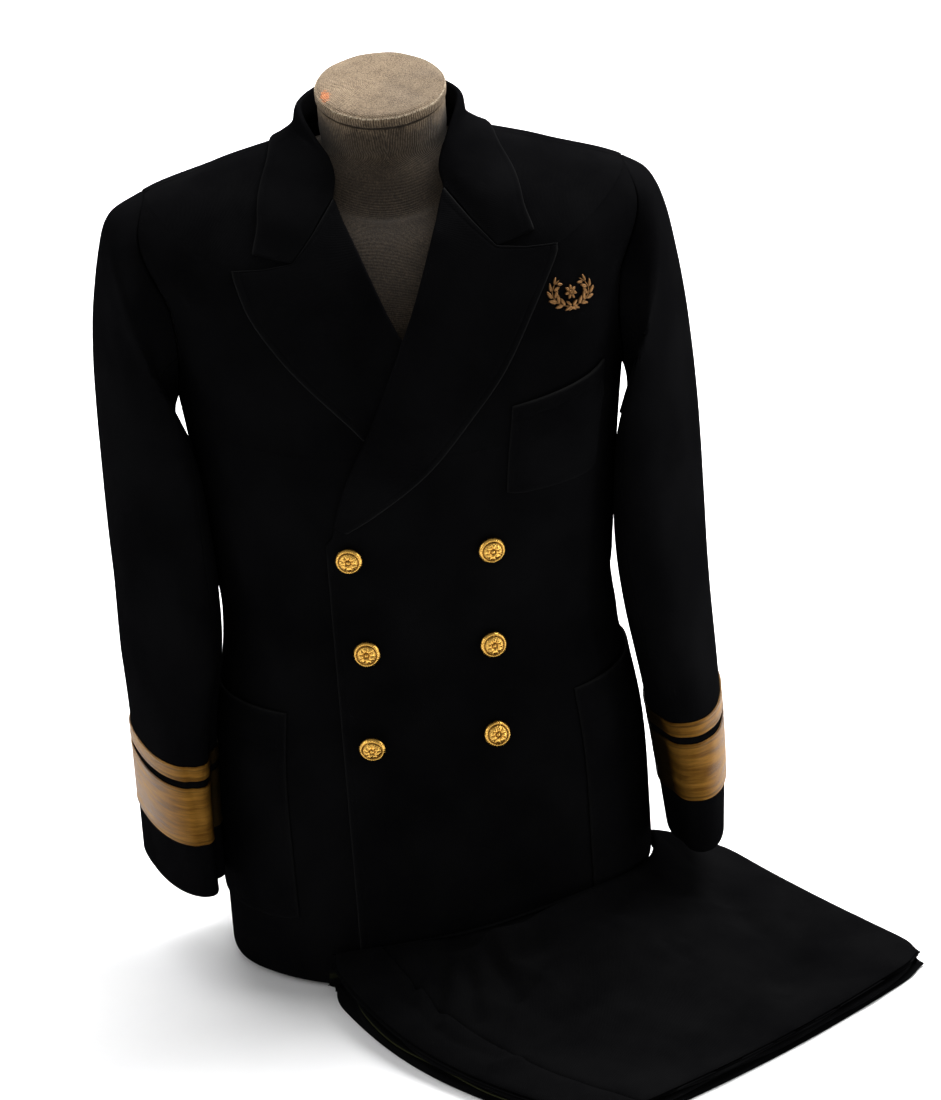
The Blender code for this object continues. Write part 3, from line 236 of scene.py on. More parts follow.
# Creases of the trousers, as x and y on the floor: "step" is the share of a one-sided step in them.
TROUSER_CREASES = table(
    "points half_width height step",
    (((0.000, -0.180), (0.160, -0.160)), 0.016, 0.0060, 0.0),
    (((0.010, -0.215), (0.190, -0.130)), 0.014, -0.0050, 0.0),
    (((-0.010, -0.205), (0.070, -0.300)), 0.013, 0.0040, 0.0),
    (((0.160, -0.205), (0.030, -0.330)), 0.012, -0.0030, 0.0),
    (((0.225, -0.070), (0.300, -0.210)), 0.016, -0.0040, 0.0),
    (((0.000, -0.160), (-0.016, -0.190), (-0.046, -0.225)), 0.0060, -0.0066, 0.0),
    (((0.004, -0.162), (-0.008, -0.200), (-0.021, -0.268)), 0.0060, -0.0070, 0.0),
    (((0.010, -0.162), (0.013, -0.200), (0.014, -0.268)), 0.0065, -0.0062, 0.0),
    (((-0.004, -0.165), (-0.026, -0.208), (-0.036, -0.266)), 0.0065, 0.0040, 0.0),
    (((0.014, -0.164), (0.038, -0.198), (0.050, -0.250)), 0.0070, -0.0052, 0.0),
    (((0.003, -0.152), (0.030, -0.168), (0.044, -0.194), (0.084, -0.245)), 0.0065, 0.0052, 0.6),
    (((0.136, -0.159), (0.087, -0.203), (0.049, -0.260), (0.035, -0.300)), 0.0060, 0.0064, 0.7),
    (((-0.020, -0.160), (0.020, -0.166), (0.062, -0.158), (0.104, -0.132)), 0.0090, -0.0115, 0.0),
    (((0.012, -0.182), (0.062, -0.178), (0.112, -0.150), (0.160, -0.104)), 0.0085, 0.0080, 0.4),
    (((0.036, -0.200), (0.086, -0.178), (0.135, -0.142), (0.176, -0.094)), 0.0085, -0.0062, 0.0),
    (((0.150, -0.122), (0.196, -0.124), (0.243, -0.112), (0.276, -0.108)), 0.0090, 0.0036, 0.5),
    (((0.311, -0.073), (0.291, -0.157), (0.266, -0.260)), 0.0150, -0.0068, 0.0),
    (((0.168, -0.165), (0.202, -0.205)), 0.0080, -0.0024, 0.0),
    (((0.170, -0.190), (0.210, -0.175)), 0.0080, 0.0020, 0.0),
    (((0.014, -0.352), (0.028, -0.336), (0.056, -0.326)), 0.0050, 0.0042, 0.4),
    (((0.120, -0.260), (0.200, -0.240)), 0.0200, -0.0022, 0.0),
    (((0.130, -0.345), (0.230, -0.285)), 0.0180, 0.0018, 0.0),
    (((-0.075, -0.175), (-0.060, -0.235), (-0.030, -0.290), (0.005, -0.335)), 0.0090, 0.0030, 0.0),
    (((-0.055, -0.180), (-0.038, -0.235), (-0.010, -0.290), (0.028, -0.330)), 0.0050, -0.0022, 0.0),
)
CREASE_RISE = (26.0, 20.0)


# Surfaces: every function takes arrays of rows and angles, and gives points
def spline(values, at):
    """Values of a column between its rows, on a smooth curve through them."""
    values, at = np.asarray(values, float), np.asarray(at, float)
    last = len(values) - 1
    low = np.clip(np.floor(at).astype(int), 0, last - 1)
    first, final, t = low == 0, low == last - 1, at - low
    if values.ndim > 1:
        extra = (...,) + (None,) * (values.ndim - 1)
        first, final, t = first[extra], final[extra], t[extra]
    start, end = values[low], values[low + 1]
    before, after = values[np.maximum(low - 1, 0)], values[np.minimum(low + 2, last)]
    slope_start = np.where(first, end - start, (end - before) / 2)
    slope_end = np.where(final, end - start, (after - start) / 2)
    return (
        (2 * t**3 - 3 * t**2 + 1) * start + (t**3 - 2 * t**2 + t) * slope_start
        + (3 * t**2 - 2 * t**3) * end + (t**3 - t**2) * slope_end
    )


def bent(values, at):
    """Values of the columns between their rows, on straight lines."""
    return np.stack([np.interp(at, range(len(values)), values[:, k]) for k in range(values.shape[1])], -1)


def fade(value, start, end):
    """0 at start, 1 at end, and a smooth step between them."""
    t = np.clip((np.asarray(value, float) - start) / (end - start), 0.0, 1.0)
    return t * t * (3 - 2 * t)


def power(value, exponent):
    """A signed power, for superellipses."""
    return np.sign(value) * np.abs(value) ** exponent


BODY = {name: [ring[name] for ring in BODY_RINGS] for name in BODY_RINGS[0]}
SLEEVE = {name: [ring[name] for ring in SLEEVE_RINGS] for name in SLEEVE_RINGS[0]}


def fold_height(folds, at, angle):
    """Height of the soft folds, each a rounded ridge that fades out at both ends."""
    total = np.zeros(np.broadcast(at, angle).shape)
    for fold in folds:
        share = (at - fold["low"]) / (fold["high"] - fold["low"])
        off = (angle - fold["angle"] - fold["lean"] * share + 180.0) % 360.0 - 180.0
        ridge = fold["height"] * np.exp(-((off / fold["spread"]) ** 2)) * np.sin(np.pi * np.clip(share, 0, 1))
        total = total + ridge
    return total


def crease_height(creases, row, angle, row_size, angle_size):
    """Height of small creases between two places, in a flat map of the surface."""
    total = np.zeros(np.broadcast(row, angle).shape)
    for crease in creases:
        start_row, start_angle = crease["start"]
        end_row, end_angle = crease["end"]
        across = (angle - start_angle + 180.0) % 360.0 - 180.0
        run_angle = (end_angle - start_angle + 180.0) % 360.0 - 180.0
        run = np.array((run_angle * angle_size, (end_row - start_row) * row_size))
        length = np.linalg.norm(run)
        x, y = across * angle_size, (row - start_row) * row_size
        share = np.clip((x * run[0] + y * run[1]) / length**2, 0.0, 1.0)
        off = (x * run[1] - y * run[0]) / length - crease["bow"] * np.sin(np.pi * share)
        beyond = np.hypot(x - share * run[0], y - share * run[1])
        distance = np.where((share <= 0) | (share >= 1), beyond, np.abs(off))
        fade_out = np.sin(np.pi * np.clip(share, 0.02, 0.98)) ** 0.7
        total = total + crease["height"] * fade_out * np.exp(-((distance / crease["half_width"]) ** 2))
    return total


def body_bare(row, angle):
    """Points of the jacket body's outer surface, without folds."""
    row, angle = np.broadcast_arrays(np.asarray(row, float), np.asarray(angle, float))
    ring = {name: spline(values, row) for name, values in BODY.items()}
    sine, cosine = np.sin(np.radians(angle)), np.cos(np.radians(angle))
    ahead = cosine > 0
    depth = np.where(ahead, ring["front"], ring["back"])
    middle = np.where(ahead, ring["z_front"], ring["z_back"])
    x = ring["half_width"] * power(sine, 2 / ring["square"])
    y = -depth * power(cosine, 2 / ring["square"])
    z = middle * cosine**2 + ring["z_side"] * sine**2
    return np.stack((x, y, z), -1)


def outward(surface, row, angle):
    """Unit normals of a surface that is a function of a row and an angle."""
    round_it = surface(row, angle + 1e-3) - surface(row, angle - 1e-3)
    up_it = surface(row + 1e-4, angle) - surface(row - 1e-4, angle)
    normal = np.cross(round_it, up_it)
    return normal / np.linalg.norm(normal, axis=-1, keepdims=True)


def body(row, angle, lift=0.0):
    """Points on the jacket body, or lifted off it along its normals."""
    row, angle = np.broadcast_arrays(np.asarray(row, float), np.asarray(angle, float))
    height = lift + fold_height(BODY_FOLDS, row, angle)
    height = height + crease_height(BODY_CREASES, row, angle, 0.085, 0.0029)
    return body_bare(row, angle) + height[..., None] * outward(body_bare, row, angle)


def angle_at(row, x):
    """Angles at which the front of the body's rings has the given x."""
    half_width, square = spline(BODY["half_width"], row), spline(BODY["square"], row)
    share = np.minimum(np.abs(x) / half_width, 1.0)
    return np.sign(x) * np.degrees(np.arcsin(share ** (square / 2)))


def place_on_front(x, z):
    """Rows and angles of the body's front at the given x and z."""
    x, z = np.broadcast_arrays(np.asarray(x, float), np.asarray(z, float))
    low, high = np.zeros(x.shape), np.full(x.shape, len(BODY_RINGS) - 1.0)
    for _ in range(30):
        row = (low + high) / 2
        sine = np.sin(np.radians(angle_at(row, x)))
        height = spline(BODY["z_front"], row) * (1 - sine**2) + spline(BODY["z_side"], row) * sine**2
        below = height < z
        low, high = np.where(below, row, low), np.where(below, high, row)
    return row, angle_at(row, x)


def left_lift(angle):
    """How far the left front stands out, where it lies over the right front."""
    return (CLOTH + LAP_GAP) * (1.0 - fade(angle, *LAP_FADE_ANGLES))


def front_surface(side, row, angle, lift=0.0):
    """Points on the outside of a front: side is 1 for the left front and -1 for the right one."""
    return body(row, angle, lift + (left_lift(angle) if side > 0 else 0.0))


def roll_x(row):
    """x of the left lapel's roll line."""
    return np.interp(row, *zip(*ROLL_LINE))


def seam_angle(row):
    """Angle of the side seam, then of the armhole's middle, then of the shoulder seam."""
    stops = (0.0, ARMHOLE_ROW - ARMHOLE_ROWS, ARMHOLE_ROW + ARMHOLE_ROWS)
    return np.interp(row, stops, (SIDE_SEAM_LOW, ARMHOLE_SEAM_ANGLE, SHOULDER_SEAM))


def gap_angle(row, angle, gap):
    """Angles that span a gap, at places on the body."""
    step = body_bare(row, angle + 0.5) - body_bare(row, angle - 0.5)
    return gap / np.linalg.norm(step, axis=-1)


def armhole(side, turn, clear=0.0):
    """Points on the armhole's edge: turn runs from its top (0) to the front (90) and the underarm (180)."""
    row = ARMHOLE_ROW + ARMHOLE_ROWS * np.cos(np.radians(turn))
    angle = seam_angle(row) - ARMHOLE_SPREAD * np.sin(np.radians(turn))
    edge = body(row, side * angle)
    inward = body(ARMHOLE_ROW, side * seam_angle(ARMHOLE_ROW)) - edge
    return edge + clear * inward / np.linalg.norm(inward, axis=-1, keepdims=True)


def sleeve_bare(side, row, turn):
    """Points of a sleeve: row 0 is the armhole, and turn runs from the outer side (0) to the front (90)."""
    ring = {name: spline(values, row) for name, values in SLEEVE.items()}
    across = power(np.cos(np.radians(turn)), 2 / ring["square"])
    forward = power(np.sin(np.radians(turn)), 2 / ring["square"])
    word = "left" if side > 0 else "right"
    x_in, x_out = ring[word + "_in"], ring[word + "_out"]
    x = (x_out + x_in) / 2 + across * (x_out - x_in) / 2 - forward * ring[word + "_skew"]
    z = (ring["z_out"] + ring["z_in"]) / 2 + across * (ring["z_out"] - ring["z_in"]) / 2
    y = (ring["y_back"] + ring["y_front"]) / 2 - forward * (ring["y_back"] - ring["y_front"]) / 2
    return np.stack((side * x, y, z), -1)


def sleeve_axis(side, row):
    """Points of a sleeve's middle line."""
    return (sleeve_bare(side, row, 0.0 * row) + sleeve_bare(side, row, 0.0 * row + 180.0)) / 2


def sleeve_shape(side, row, turn):
    """A sleeve's surface, with its upper end bent to the armhole and its folds pressed in."""
    point = sleeve_bare(side, row, turn)
    share = np.clip(1.0 - row / SLEEVE_BLEND_ROWS, 0.0, 1.0)[..., None] ** 2
    point = point + share * (armhole(side, turn, SET_IN) - sleeve_bare(side, 0.0 * row, turn))
    height = fold_height([fold for fold in SLEEVE_FOLDS if fold["side"] == side], row, turn)
    creases = [crease for crease in SLEEVE_CREASES if crease["side"] == side]
    height = height + crease_height(creases, row, turn, 0.060, 0.0013)
    away = point - sleeve_axis(side, row)
    return point + height[..., None] * away / np.linalg.norm(away, axis=-1, keepdims=True)


def sleeve(side, row, turn, lift=0.0):
    """Points on a sleeve, or lifted off it along its normals."""
    row, turn = np.broadcast_arrays(np.asarray(row, float), np.asarray(turn, float))
    point = sleeve_shape(side, row, turn)
    normal = outward(lambda r, a: sleeve_shape(side, r, a), row, turn)
    facing = np.sum(normal * (point - sleeve_axis(side, row)), -1, keepdims=True)
    return point + np.asarray(lift)[..., None] * normal * np.sign(facing)


# Meshes
SET_IN = 0.0003
EDGE_STEP = 0.0009
EDGE_DROP = 0.0005
EDGE_ROUND = 0.35
GROOVE_WIDTH = 0.0009
GROOVE_DEPTH = 0.00035
# How far in from an edge its painted highlight reaches.
EDGE_HIGHLIGHT_WIDTH = 0.0007


def stations(length, spacing, marks=()):
    """Shares of a length, close together at its ends and at the marks, which are distances along it."""
    places = list(np.linspace(0.0, length, max(int(length / spacing), 2) + 1))
    for mark in (0.0, length, *marks):
        places += [mark + k * EDGE_STEP for k in (-2, -1, 0, 1, 2)]
    kept = [0.0]
    for place in sorted(places):
        if place - kept[-1] > EDGE_STEP * 0.6 and place < length - EDGE_STEP * 0.6:
            kept.append(place)
    return np.array(kept + [length]) / length


def groove(distance, at):
    """Height of a line of stitching, a shallow groove."""
    return -GROOVE_DEPTH * np.exp(-(((distance - at) / GROOVE_WIDTH) ** 2))


def edge_drop(shares_down, shares_across):
    """The border of a grid dips, so its edge looks rounded."""
    down = (shares_down == 0) | (shares_down == 1)
    across = (shares_across == 0) | (shares_across == 1)
    return -EDGE_DROP * (down[:, None] | across[None, :])


def edge_highlight(*distances):
    """Painted highlight along edges, at distances from them in metres: 1 at the nearest edge."""
    nearest = distances[0]
    for distance in distances[1:]:
        nearest = np.minimum(nearest, distance)
    return np.exp(-nearest / EDGE_HIGHLIGHT_WIDTH)


def normals_of(grid, closed=False):
    """Unit normals of a grid of points."""
    if closed:
        across = np.roll(grid, -1, 1) - np.roll(grid, 1, 1)
    else:
        across = np.gradient(grid, axis=1)
    normal = np.cross(across, np.gradient(grid, axis=0))
    return normal / np.maximum(np.linalg.norm(normal, axis=-1, keepdims=True), 1e-12)


def rim_of(rows, columns):
    """Places along the border of a grid, once round."""
    out = [(k, 0) for k in range(rows)] + [(rows - 1, k) for k in range(1, columns)]
    back = [(k, columns - 1) for k in range(rows - 2, -1, -1)] + [(0, k) for k in range(columns - 2, 0, -1)]
    return out + back


def cells_of(rows, columns):
    """Row and column of every cell of a grid."""
    return (places.ravel() for places in np.meshgrid(np.arange(rows), np.arange(columns), indexing="ij"))


def corners_of(grid, i, j):
    """Values of a grid at the four corners of its cells."""
    return np.stack((grid[i, j], grid[i, j + 1], grid[i + 1, j + 1], grid[i + 1, j]), 1)


def set_tint(mesh, values):
    """The mesh's tint, a value for each point."""
    layer = mesh.attributes.new("tint", "FLOAT", "POINT")
    layer.data.foreach_set("value", np.asarray(values, np.float32))


def add_faces(mesh, loops):
    """Closes a mesh with more faces, each the numbers of its points in order."""
    shape = bmesh.new()
    shape.from_mesh(mesh)
    shape.verts.ensure_lookup_table()
    for loop in loops:
        shape.faces.new([shape.verts[int(number)] for number in loop])
    shape.to_mesh(mesh)
    shape.free()


def piece(name, points, faces, slot, corners=None, tints=None):
    """One closed mesh that rides on the frame and stands for its node."""
    points, faces = np.asarray(points, float), np.asarray(faces)
    a, b, c = (points[faces[:, k]] for k in range(3))
    volume = np.sum(a * np.cross(b, c))
    if faces.shape[1] == 4:
        volume += np.sum(a * np.cross(c, points[faces[:, 3]]))
    if volume < 0:
        faces = faces[:, ::-1]
        corners = None if corners is None else corners[:, ::-1]
    mesh = bpy.data.meshes.new(name)
    mesh.from_pydata(points.tolist(), [], faces.tolist())
    if corners is not None:
        layer = mesh.uv_layers.new(name="cloth")
        layer.data.foreach_set("uv", np.ascontiguousarray(corners, dtype=np.float32).ravel())
    if tints is not None:
        set_tint(mesh, tints)
    return placed(name, mesh, slot)


def placed(name, mesh, slot):
    """An object for a mesh: it rides on the frame and stands for its node."""
    mesh.shade_smooth()
    mesh.materials.append(FINISHES[slot])
    made = bpy.data.objects.new(name + "_fine", mesh)
    bpy.context.scene.collection.objects.link(made)
    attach(made, "root")
    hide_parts(name)
    return made


def flat_map(grid, closed):
    """Lengths along a grid both ways, in metres, with one more column where it is closed."""
    if closed:
        grid = np.concatenate((grid, grid[:, :1]), 1)
    across = np.cumsum(np.linalg.norm(np.diff(grid, axis=1), axis=2), 1)
    u = np.concatenate((np.zeros((len(grid), 1)), across), 1)
    down = np.linalg.norm(np.diff(grid, axis=0), axis=2).mean(1)
    v = np.concatenate(((0.0,), np.cumsum(down)))
    return np.stack((u - u[:, u.shape[1] // 2:u.shape[1] // 2 + 1], np.broadcast_to(v[:, None], u.shape)), -1)


def wall(name, outer, inner, slot, closed=False, tints=None):
    """A sheet of cloth between two grids, with rounded edges. A closed one is a tube."""
    rows, columns = outer.shape[:2]
    half = rows * columns
    lengths = flat_map(outer, closed)
    points = [outer.reshape(-1, 3), inner.reshape(-1, 3)]
    i, j = cells_of(rows - 1, columns if closed else columns - 1)

    def index(row, column):
        return row * columns + column % columns

    quads = np.stack((index(i, j), index(i, j + 1), index(i + 1, j + 1), index(i + 1, j)), 1)
    places = [corners_of(lengths, i, j)]
    faces = [quads, quads[:, ::-1] + half]
    places.append(places[0][:, ::-1])
    if closed:
        rims = [[(row, k) for k in range(columns)] for row in (0, rows - 1)]
    else:
        rims = [rim_of(rows, columns)]
    start = 2 * half
    for number, rim in enumerate(rims):
        r, c = np.array(rim).T
        near_c = c if closed else np.clip(c, 1, columns - 2)
        middle = (outer[r, c] + inner[r, c]) / 2
        inside = (outer + inner)[np.clip(r, 1, rows - 2), near_c] / 2
        way = middle - inside
        way /= np.maximum(np.linalg.norm(way, axis=1, keepdims=True), 1e-12)
        thick = np.linalg.norm(outer[r, c] - inner[r, c], axis=1, keepdims=True)
        points.append(middle + EDGE_ROUND * thick * way)
        count = len(rim)
        k = np.arange(count)
        after = (k + 1) % count
        top, low, mid = index(r, c), index(r, c) + half, start + k
        flip = 1 if closed and number else -1
        c_after = c[after] + (columns if closed else 0) * (after == 0)
        uv_here, uv_after = lengths[r, c], lengths[r[after], c_after]
        for upper, lower in ((top, mid), (mid, low)):
            faces.append(np.stack((upper, upper[after], lower[after], lower), 1)[:, ::-flip])
            places.append(np.stack((uv_here, uv_after, uv_after, uv_here), 1)[:, ::-flip])
        start += count
    points = np.concatenate(points)
    if tints is not None:
        rim_tints = [tints[tuple(np.array(rim).T)] for rim in rims]
        tints = np.concatenate((tints.ravel(), tints.ravel(), *rim_tints))
    return piece(name, points, np.concatenate(faces), slot, np.concatenate(places), tints)


# Materials
def node(tree, kind, inputs=None, **settings):
    """A shader node with its inputs set or linked."""
    made = tree.nodes.new(kind)
    for key, value in settings.items():
        setattr(made, key, value)
    for key, value in (inputs or {}).items():
        if isinstance(value, bpy.types.NodeSocket):
            tree.links.new(value, made.inputs[key])
        else:
            made.inputs[key].default_value = value
    return made


def ramp(tree, factor, *stops):
    """A colour ramp over a factor: each stop is a place and a colour."""
    made = node(tree, "ShaderNodeValToRGB", {"Fac": factor})
    ends = made.color_ramp.elements
    while len(ends) < len(stops):
        ends.new(0.5)
    for element, (place, colour) in zip(ends, stops):
        element.position = place
        element.color = (*colour, 1.0)
    return made.outputs["Color"]


def grey_ramp(tree, factor, *stops):
    """A ramp of greys over a factor: each stop is a place and a value."""
    return ramp(tree, factor, *((place, (value,) * 3) for place, value in stops))


def math_node(tree, operation, first, second, **settings):
    """A Math node's output."""
    return node(tree, "ShaderNodeMath", {0: first, 1: second}, operation=operation, **settings).outputs[0]


def weighted(tree, *parts):
    """The sum of values, each with its weight."""
    terms = [math_node(tree, "MULTIPLY", value, weight) for value, weight in parts]
    total = terms[0]
    for term in terms[1:]:
        total = math_node(tree, "ADD", total, term)
    return total


def blend(tree, factor, first, second, kind="MIX"):
    """Two colours, mixed or blended in another way."""
    inputs = {0: factor, 6: first, 7: second}
    return node(tree, "ShaderNodeMix", inputs, data_type="RGBA", blend_type=kind).outputs[2]


def new_finish(name, **constants):
    """A material, its node tree and its shader, with constants on the shader's own sockets."""
    made = bpy.data.materials.new(name)
    made.use_nodes = True
    shader = made.node_tree.nodes["Principled BSDF"]
    for key, value in constants.items():
        shader.inputs[key.replace("_", " ")].default_value = value
    return made, made.node_tree, shader


def cloth_places(tree):
    """A point's place on the object, its place on the flat cloth, and the mesh's tint there."""
    place = node(tree, "ShaderNodeTexCoord").outputs["Object"]
    cloth = node(tree, "ShaderNodeUVMap", uv_map="cloth").outputs["UV"]
    tint = node(tree, "ShaderNodeAttribute", attribute_name="tint").outputs["Fac"]
    return place, cloth, tint


def feed(tree, shader, colour, roughness=None):
    """Links the shader's colour, and its roughness where that varies."""
    tree.links.new(colour, shader.inputs["Base Color"])
    if roughness is not None:
        tree.links.new(roughness, shader.inputs["Roughness"])


def bump(tree, shader, height, distance):
    """Surface relief in a shader."""
    made = node(tree, "ShaderNodeBump", {"Height": height, "Distance": distance, "Strength": 1.0})
    tree.links.new(made.outputs["Normal"], shader.inputs["Normal"])


def waves(tree, vector, period, angle=0.0, distortion=0.0):
    """Parallel bands of a period in metres, across the first axis of a vector."""
    turned = node(tree, "ShaderNodeMapping", {"Vector": vector, "Rotation": (0.0, 0.0, math.radians(angle))})
    scale = 2 * math.pi / (20.0 * period)
    settings = {"Vector": turned.outputs[0], "Scale": scale, "Distortion": distortion, "Detail": 1.0}
    made = node(tree, "ShaderNodeTexWave", settings, wave_type="BANDS", bands_direction="X")
    return made.outputs["Fac"]


def noise(tree, vector, scale, detail=3.0, roughness=0.55):
    """Noise at a scale of so many bumps a metre."""
    settings = {"Vector": vector, "Scale": scale, "Detail": detail, "Roughness": roughness}
    return node(tree, "ShaderNodeTexNoise", settings).outputs["Fac"]


def wool(name, dark, light, nap, marked):
    """Fine twill with a soft nap and lint. The mesh's tint marks the lining and painted highlights along
    edges in their colour.
    """
    made, tree, shader = new_finish(
        name, Roughness=0.88, Sheen_Weight=nap, Sheen_Roughness=0.4, Specular_IOR_Level=0.0,
    )
    shader.inputs["Sheen Tint"].default_value = (0.92, 0.93, 1.0, 1.0)
    place, cloth, tint = cloth_places(tree)
    twill = waves(tree, cloth, 0.0011, 58.0, 0.6)
    yarn = waves(tree, cloth, 0.0007, -32.0, 0.4)
    weave = weighted(tree, (twill, 0.65), (yarn, 0.35))
    shade = weighted(tree, (noise(tree, place, 14.0, 4.0), 0.7), (weave, 0.3))
    colour = ramp(tree, shade, (0.32, dark), (0.72, light))
    lint = grey_ramp(tree, noise(tree, place, 1700.0, 1.0), (0.72, 0.0), (0.80, 0.010))
    linted = blend(tree, 1.0, colour, lint, "ADD")
    wear = grey_ramp(tree, noise(tree, place, 40.0), (0.3, 0.78), (0.75, 0.92))
    feed(tree, shader, blend(tree, tint, linted, (*marked, 1.0)), wear)
    bump(tree, shader, weighted(tree, (weave, 1.0), (noise(tree, place, 2400.0, 2.0), 0.6)), 0.00016)
    return made


LACE_COLOURS = ((0.30, (0.046, 0.017, 0.002)), (0.50, (0.150, 0.067, 0.009)), (0.74, (0.360, 0.185, 0.032)))
# Dark colour of the lace's woven border lines and of the painted shade on the cuffs' inner side.
LACE_BORDER_LINE_AND_PAINTED_SHADE = (0.009, 0.0075, 0.0025, 1.0)


def lace_finish():
    """Woven gold lace: fine upright ribs and tarnished blooms; where the mesh's tint marks it, dark border
    lines and painted shade on the cuff's inner side.
    """
    made, tree, shader = new_finish("gold_lace_woven", Metallic=0.75, Roughness=0.5, Specular_IOR_Level=0.1)
    place, cloth, tint = cloth_places(tree)
    ribs = waves(tree, cloth, 0.0009)
    threads = waves(tree, cloth, 0.0007, 90.0, 0.5)
    drawn = node(tree, "ShaderNodeMapping", {"Vector": place, "Scale": (0.25, 0.25, 3.0)}).outputs[0]
    tarnish_and_painted_shade = noise(tree, drawn, 75.0, 5.0, 0.65)
    colour = ramp(tree, weighted(tree, (ribs, 0.22), (tarnish_and_painted_shade, 0.78)), *LACE_COLOURS)
    rough = grey_ramp(tree, tarnish_and_painted_shade, (0.3, 0.40), (0.7, 0.62))
    feed(tree, shader, blend(tree, tint, colour, LACE_BORDER_LINE_AND_PAINTED_SHADE), rough)
    bump(tree, shader, weighted(tree, (ribs, 1.0), (threads, 0.5)), 0.00018)
    return made


def gilt_finish(name, metal, bright, dark, roughness):
    """Gilt metal or wire, with painted shade in its recesses, which the mesh's tint marks."""
    made, tree, shader = new_finish(name, Metallic=metal, Roughness=roughness)
    place = node(tree, "ShaderNodeTexCoord").outputs["Object"]
    tint = node(tree, "ShaderNodeAttribute", attribute_name="tint").outputs["Fac"]
    wear = noise(tree, place, 420.0, 4.0)
    shade = math_node(tree, "SUBTRACT", weighted(tree, (tint, 1.0), (wear, 0.35)), 0.17)
    rough = grey_ramp(tree, wear, (0.3, roughness - 0.08), (0.8, roughness + 0.15))
    feed(tree, shader, ramp(tree, shade, (0.10, bright), (0.85, dark)), rough)
    bump(tree, shader, noise(tree, place, 1500.0, 2.0), 0.00004)
    return made


# Painted shade on the knit below the cap, where the collar shades it: the height where the shaded part
# starts, and how far up it fades out.
KNIT_PAINTED_SHADE = (0.690, 0.050)
# The height from which its upright ribs show, on the stretched neck.
RIBS_FROM = 0.672
KNIT_COLOURS = ((0.34, (0.055, 0.036, 0.020)), (0.50, (0.165, 0.116, 0.070)), (0.66, (0.36, 0.268, 0.175)))
FRAYED_EDGE = (0.46, 0.38, 0.27, 1.0)
UNDER_KNIT = ((0.35, (0.20, 0.045, 0.012)), (0.65, (0.48, 0.19, 0.075)))


def knit_finish():
    """Heathered jersey: upright ribs, flecks of lighter and darker yarn, painted shade below the cap, a
    frayed rim and a spot rubbed bare.
    """
    made, tree, shader = new_finish("heather_knit", Roughness=0.92, Sheen_Weight=0.06, Specular_IOR_Level=0.2)
    place, cloth, tint = cloth_places(tree)
    height = node(tree, "ShaderNodeSeparateXYZ", {"Vector": place}).outputs["Z"]
    above = math_node(tree, "SUBTRACT", height, RIBS_FROM)
    upper = math_node(tree, "MULTIPLY", above, 40.0, use_clamp=True)
    ribs = math_node(tree, "MULTIPLY", waves(tree, cloth, 0.0021, 0.0, 0.8), upper)
    loops = waves(tree, cloth, 0.0016, 90.0, 1.2)
    stretched = node(tree, "ShaderNodeMapping", {"Vector": place, "Scale": (1.0, 1.0, 0.45)}).outputs[0]
    flecks = noise(tree, stretched, 900.0, 3.0, 0.7)
    blotches = noise(tree, place, 70.0, 4.0)
    colour = ramp(tree, weighted(tree, (flecks, 0.68), (ribs, 0.19), (blotches, 0.16)), *KNIT_COLOURS)
    # Painted shade below the cap, darkest inside the jacket, broken up by the blotches.
    painted_shade_level = math_node(tree, "MULTIPLY", math_node(tree, "SUBTRACT", height, KNIT_PAINTED_SHADE[0]), 1 / KNIT_PAINTED_SHADE[1])
    painted_shade_level = weighted(tree, (painted_shade_level, 1.0), (math_node(tree, "SUBTRACT", blotches, 0.5), 0.5))
    painted_shade_factor = grey_ramp(tree, painted_shade_level, (0.0, 0.17), (0.45, 0.20), (0.75, 0.66), (1.0, 0.86))
    shaded = blend(tree, 1.0, colour, painted_shade_factor, "MULTIPLY")
    # A ramp's stops end at 1, so both sums are halved before it.
    threads = weighted(tree, (tint, -1.0), (noise(tree, place, 620.0, 3.0, 0.7), 1.0))
    frayed = grey_ramp(tree, math_node(tree, "MULTIPLY", threads, 0.5), (0.50, 0.0), (0.60, 1.0))
    ragged = weighted(tree, (tint, 1.0), (noise(tree, place, 330.0, 4.0, 0.7), 0.9))
    bare = grey_ramp(tree, math_node(tree, "MULTIPLY", ragged, 0.5), (0.58, 0.0), (0.63, 1.0))
    under = ramp(tree, noise(tree, place, 700.0), *UNDER_KNIT)
    feed(tree, shader, blend(tree, bare, blend(tree, frayed, shaded, FRAYED_EDGE), under))
    bump(tree, shader, weighted(tree, (ribs, 1.0), (loops, 0.5), (flecks, 0.7)), 0.00045)
    return made


WOOL_DARK = (0.0014, 0.0014, 0.0016)
FINISHES = {
    # The navy's marked colour is a painted highlight along edges; the trousers' marked colour is their
    # lining.
    "navy_wool": wool("navy_barathea", WOOL_DARK, (0.0036, 0.0036, 0.0039), 0.0012, (0.010, 0.010, 0.010)),
    "trouser_wool": wool(
        "navy_trouser_wool", WOOL_DARK, (0.0038, 0.0038, 0.0040), 0.0030, (0.016, 0.017, 0.007),
    ),
    "gold_lace": lace_finish(),
    "gilt": gilt_finish("polished_gilt", 1.0, (0.82, 0.47, 0.10), (0.060, 0.026, 0.004), 0.26),
    "bullion": gilt_finish("gold_bullion", 0.75, (0.30, 0.150, 0.050), (0.028, 0.011, 0.003), 0.42),
    "form_knit": knit_finish(),
}


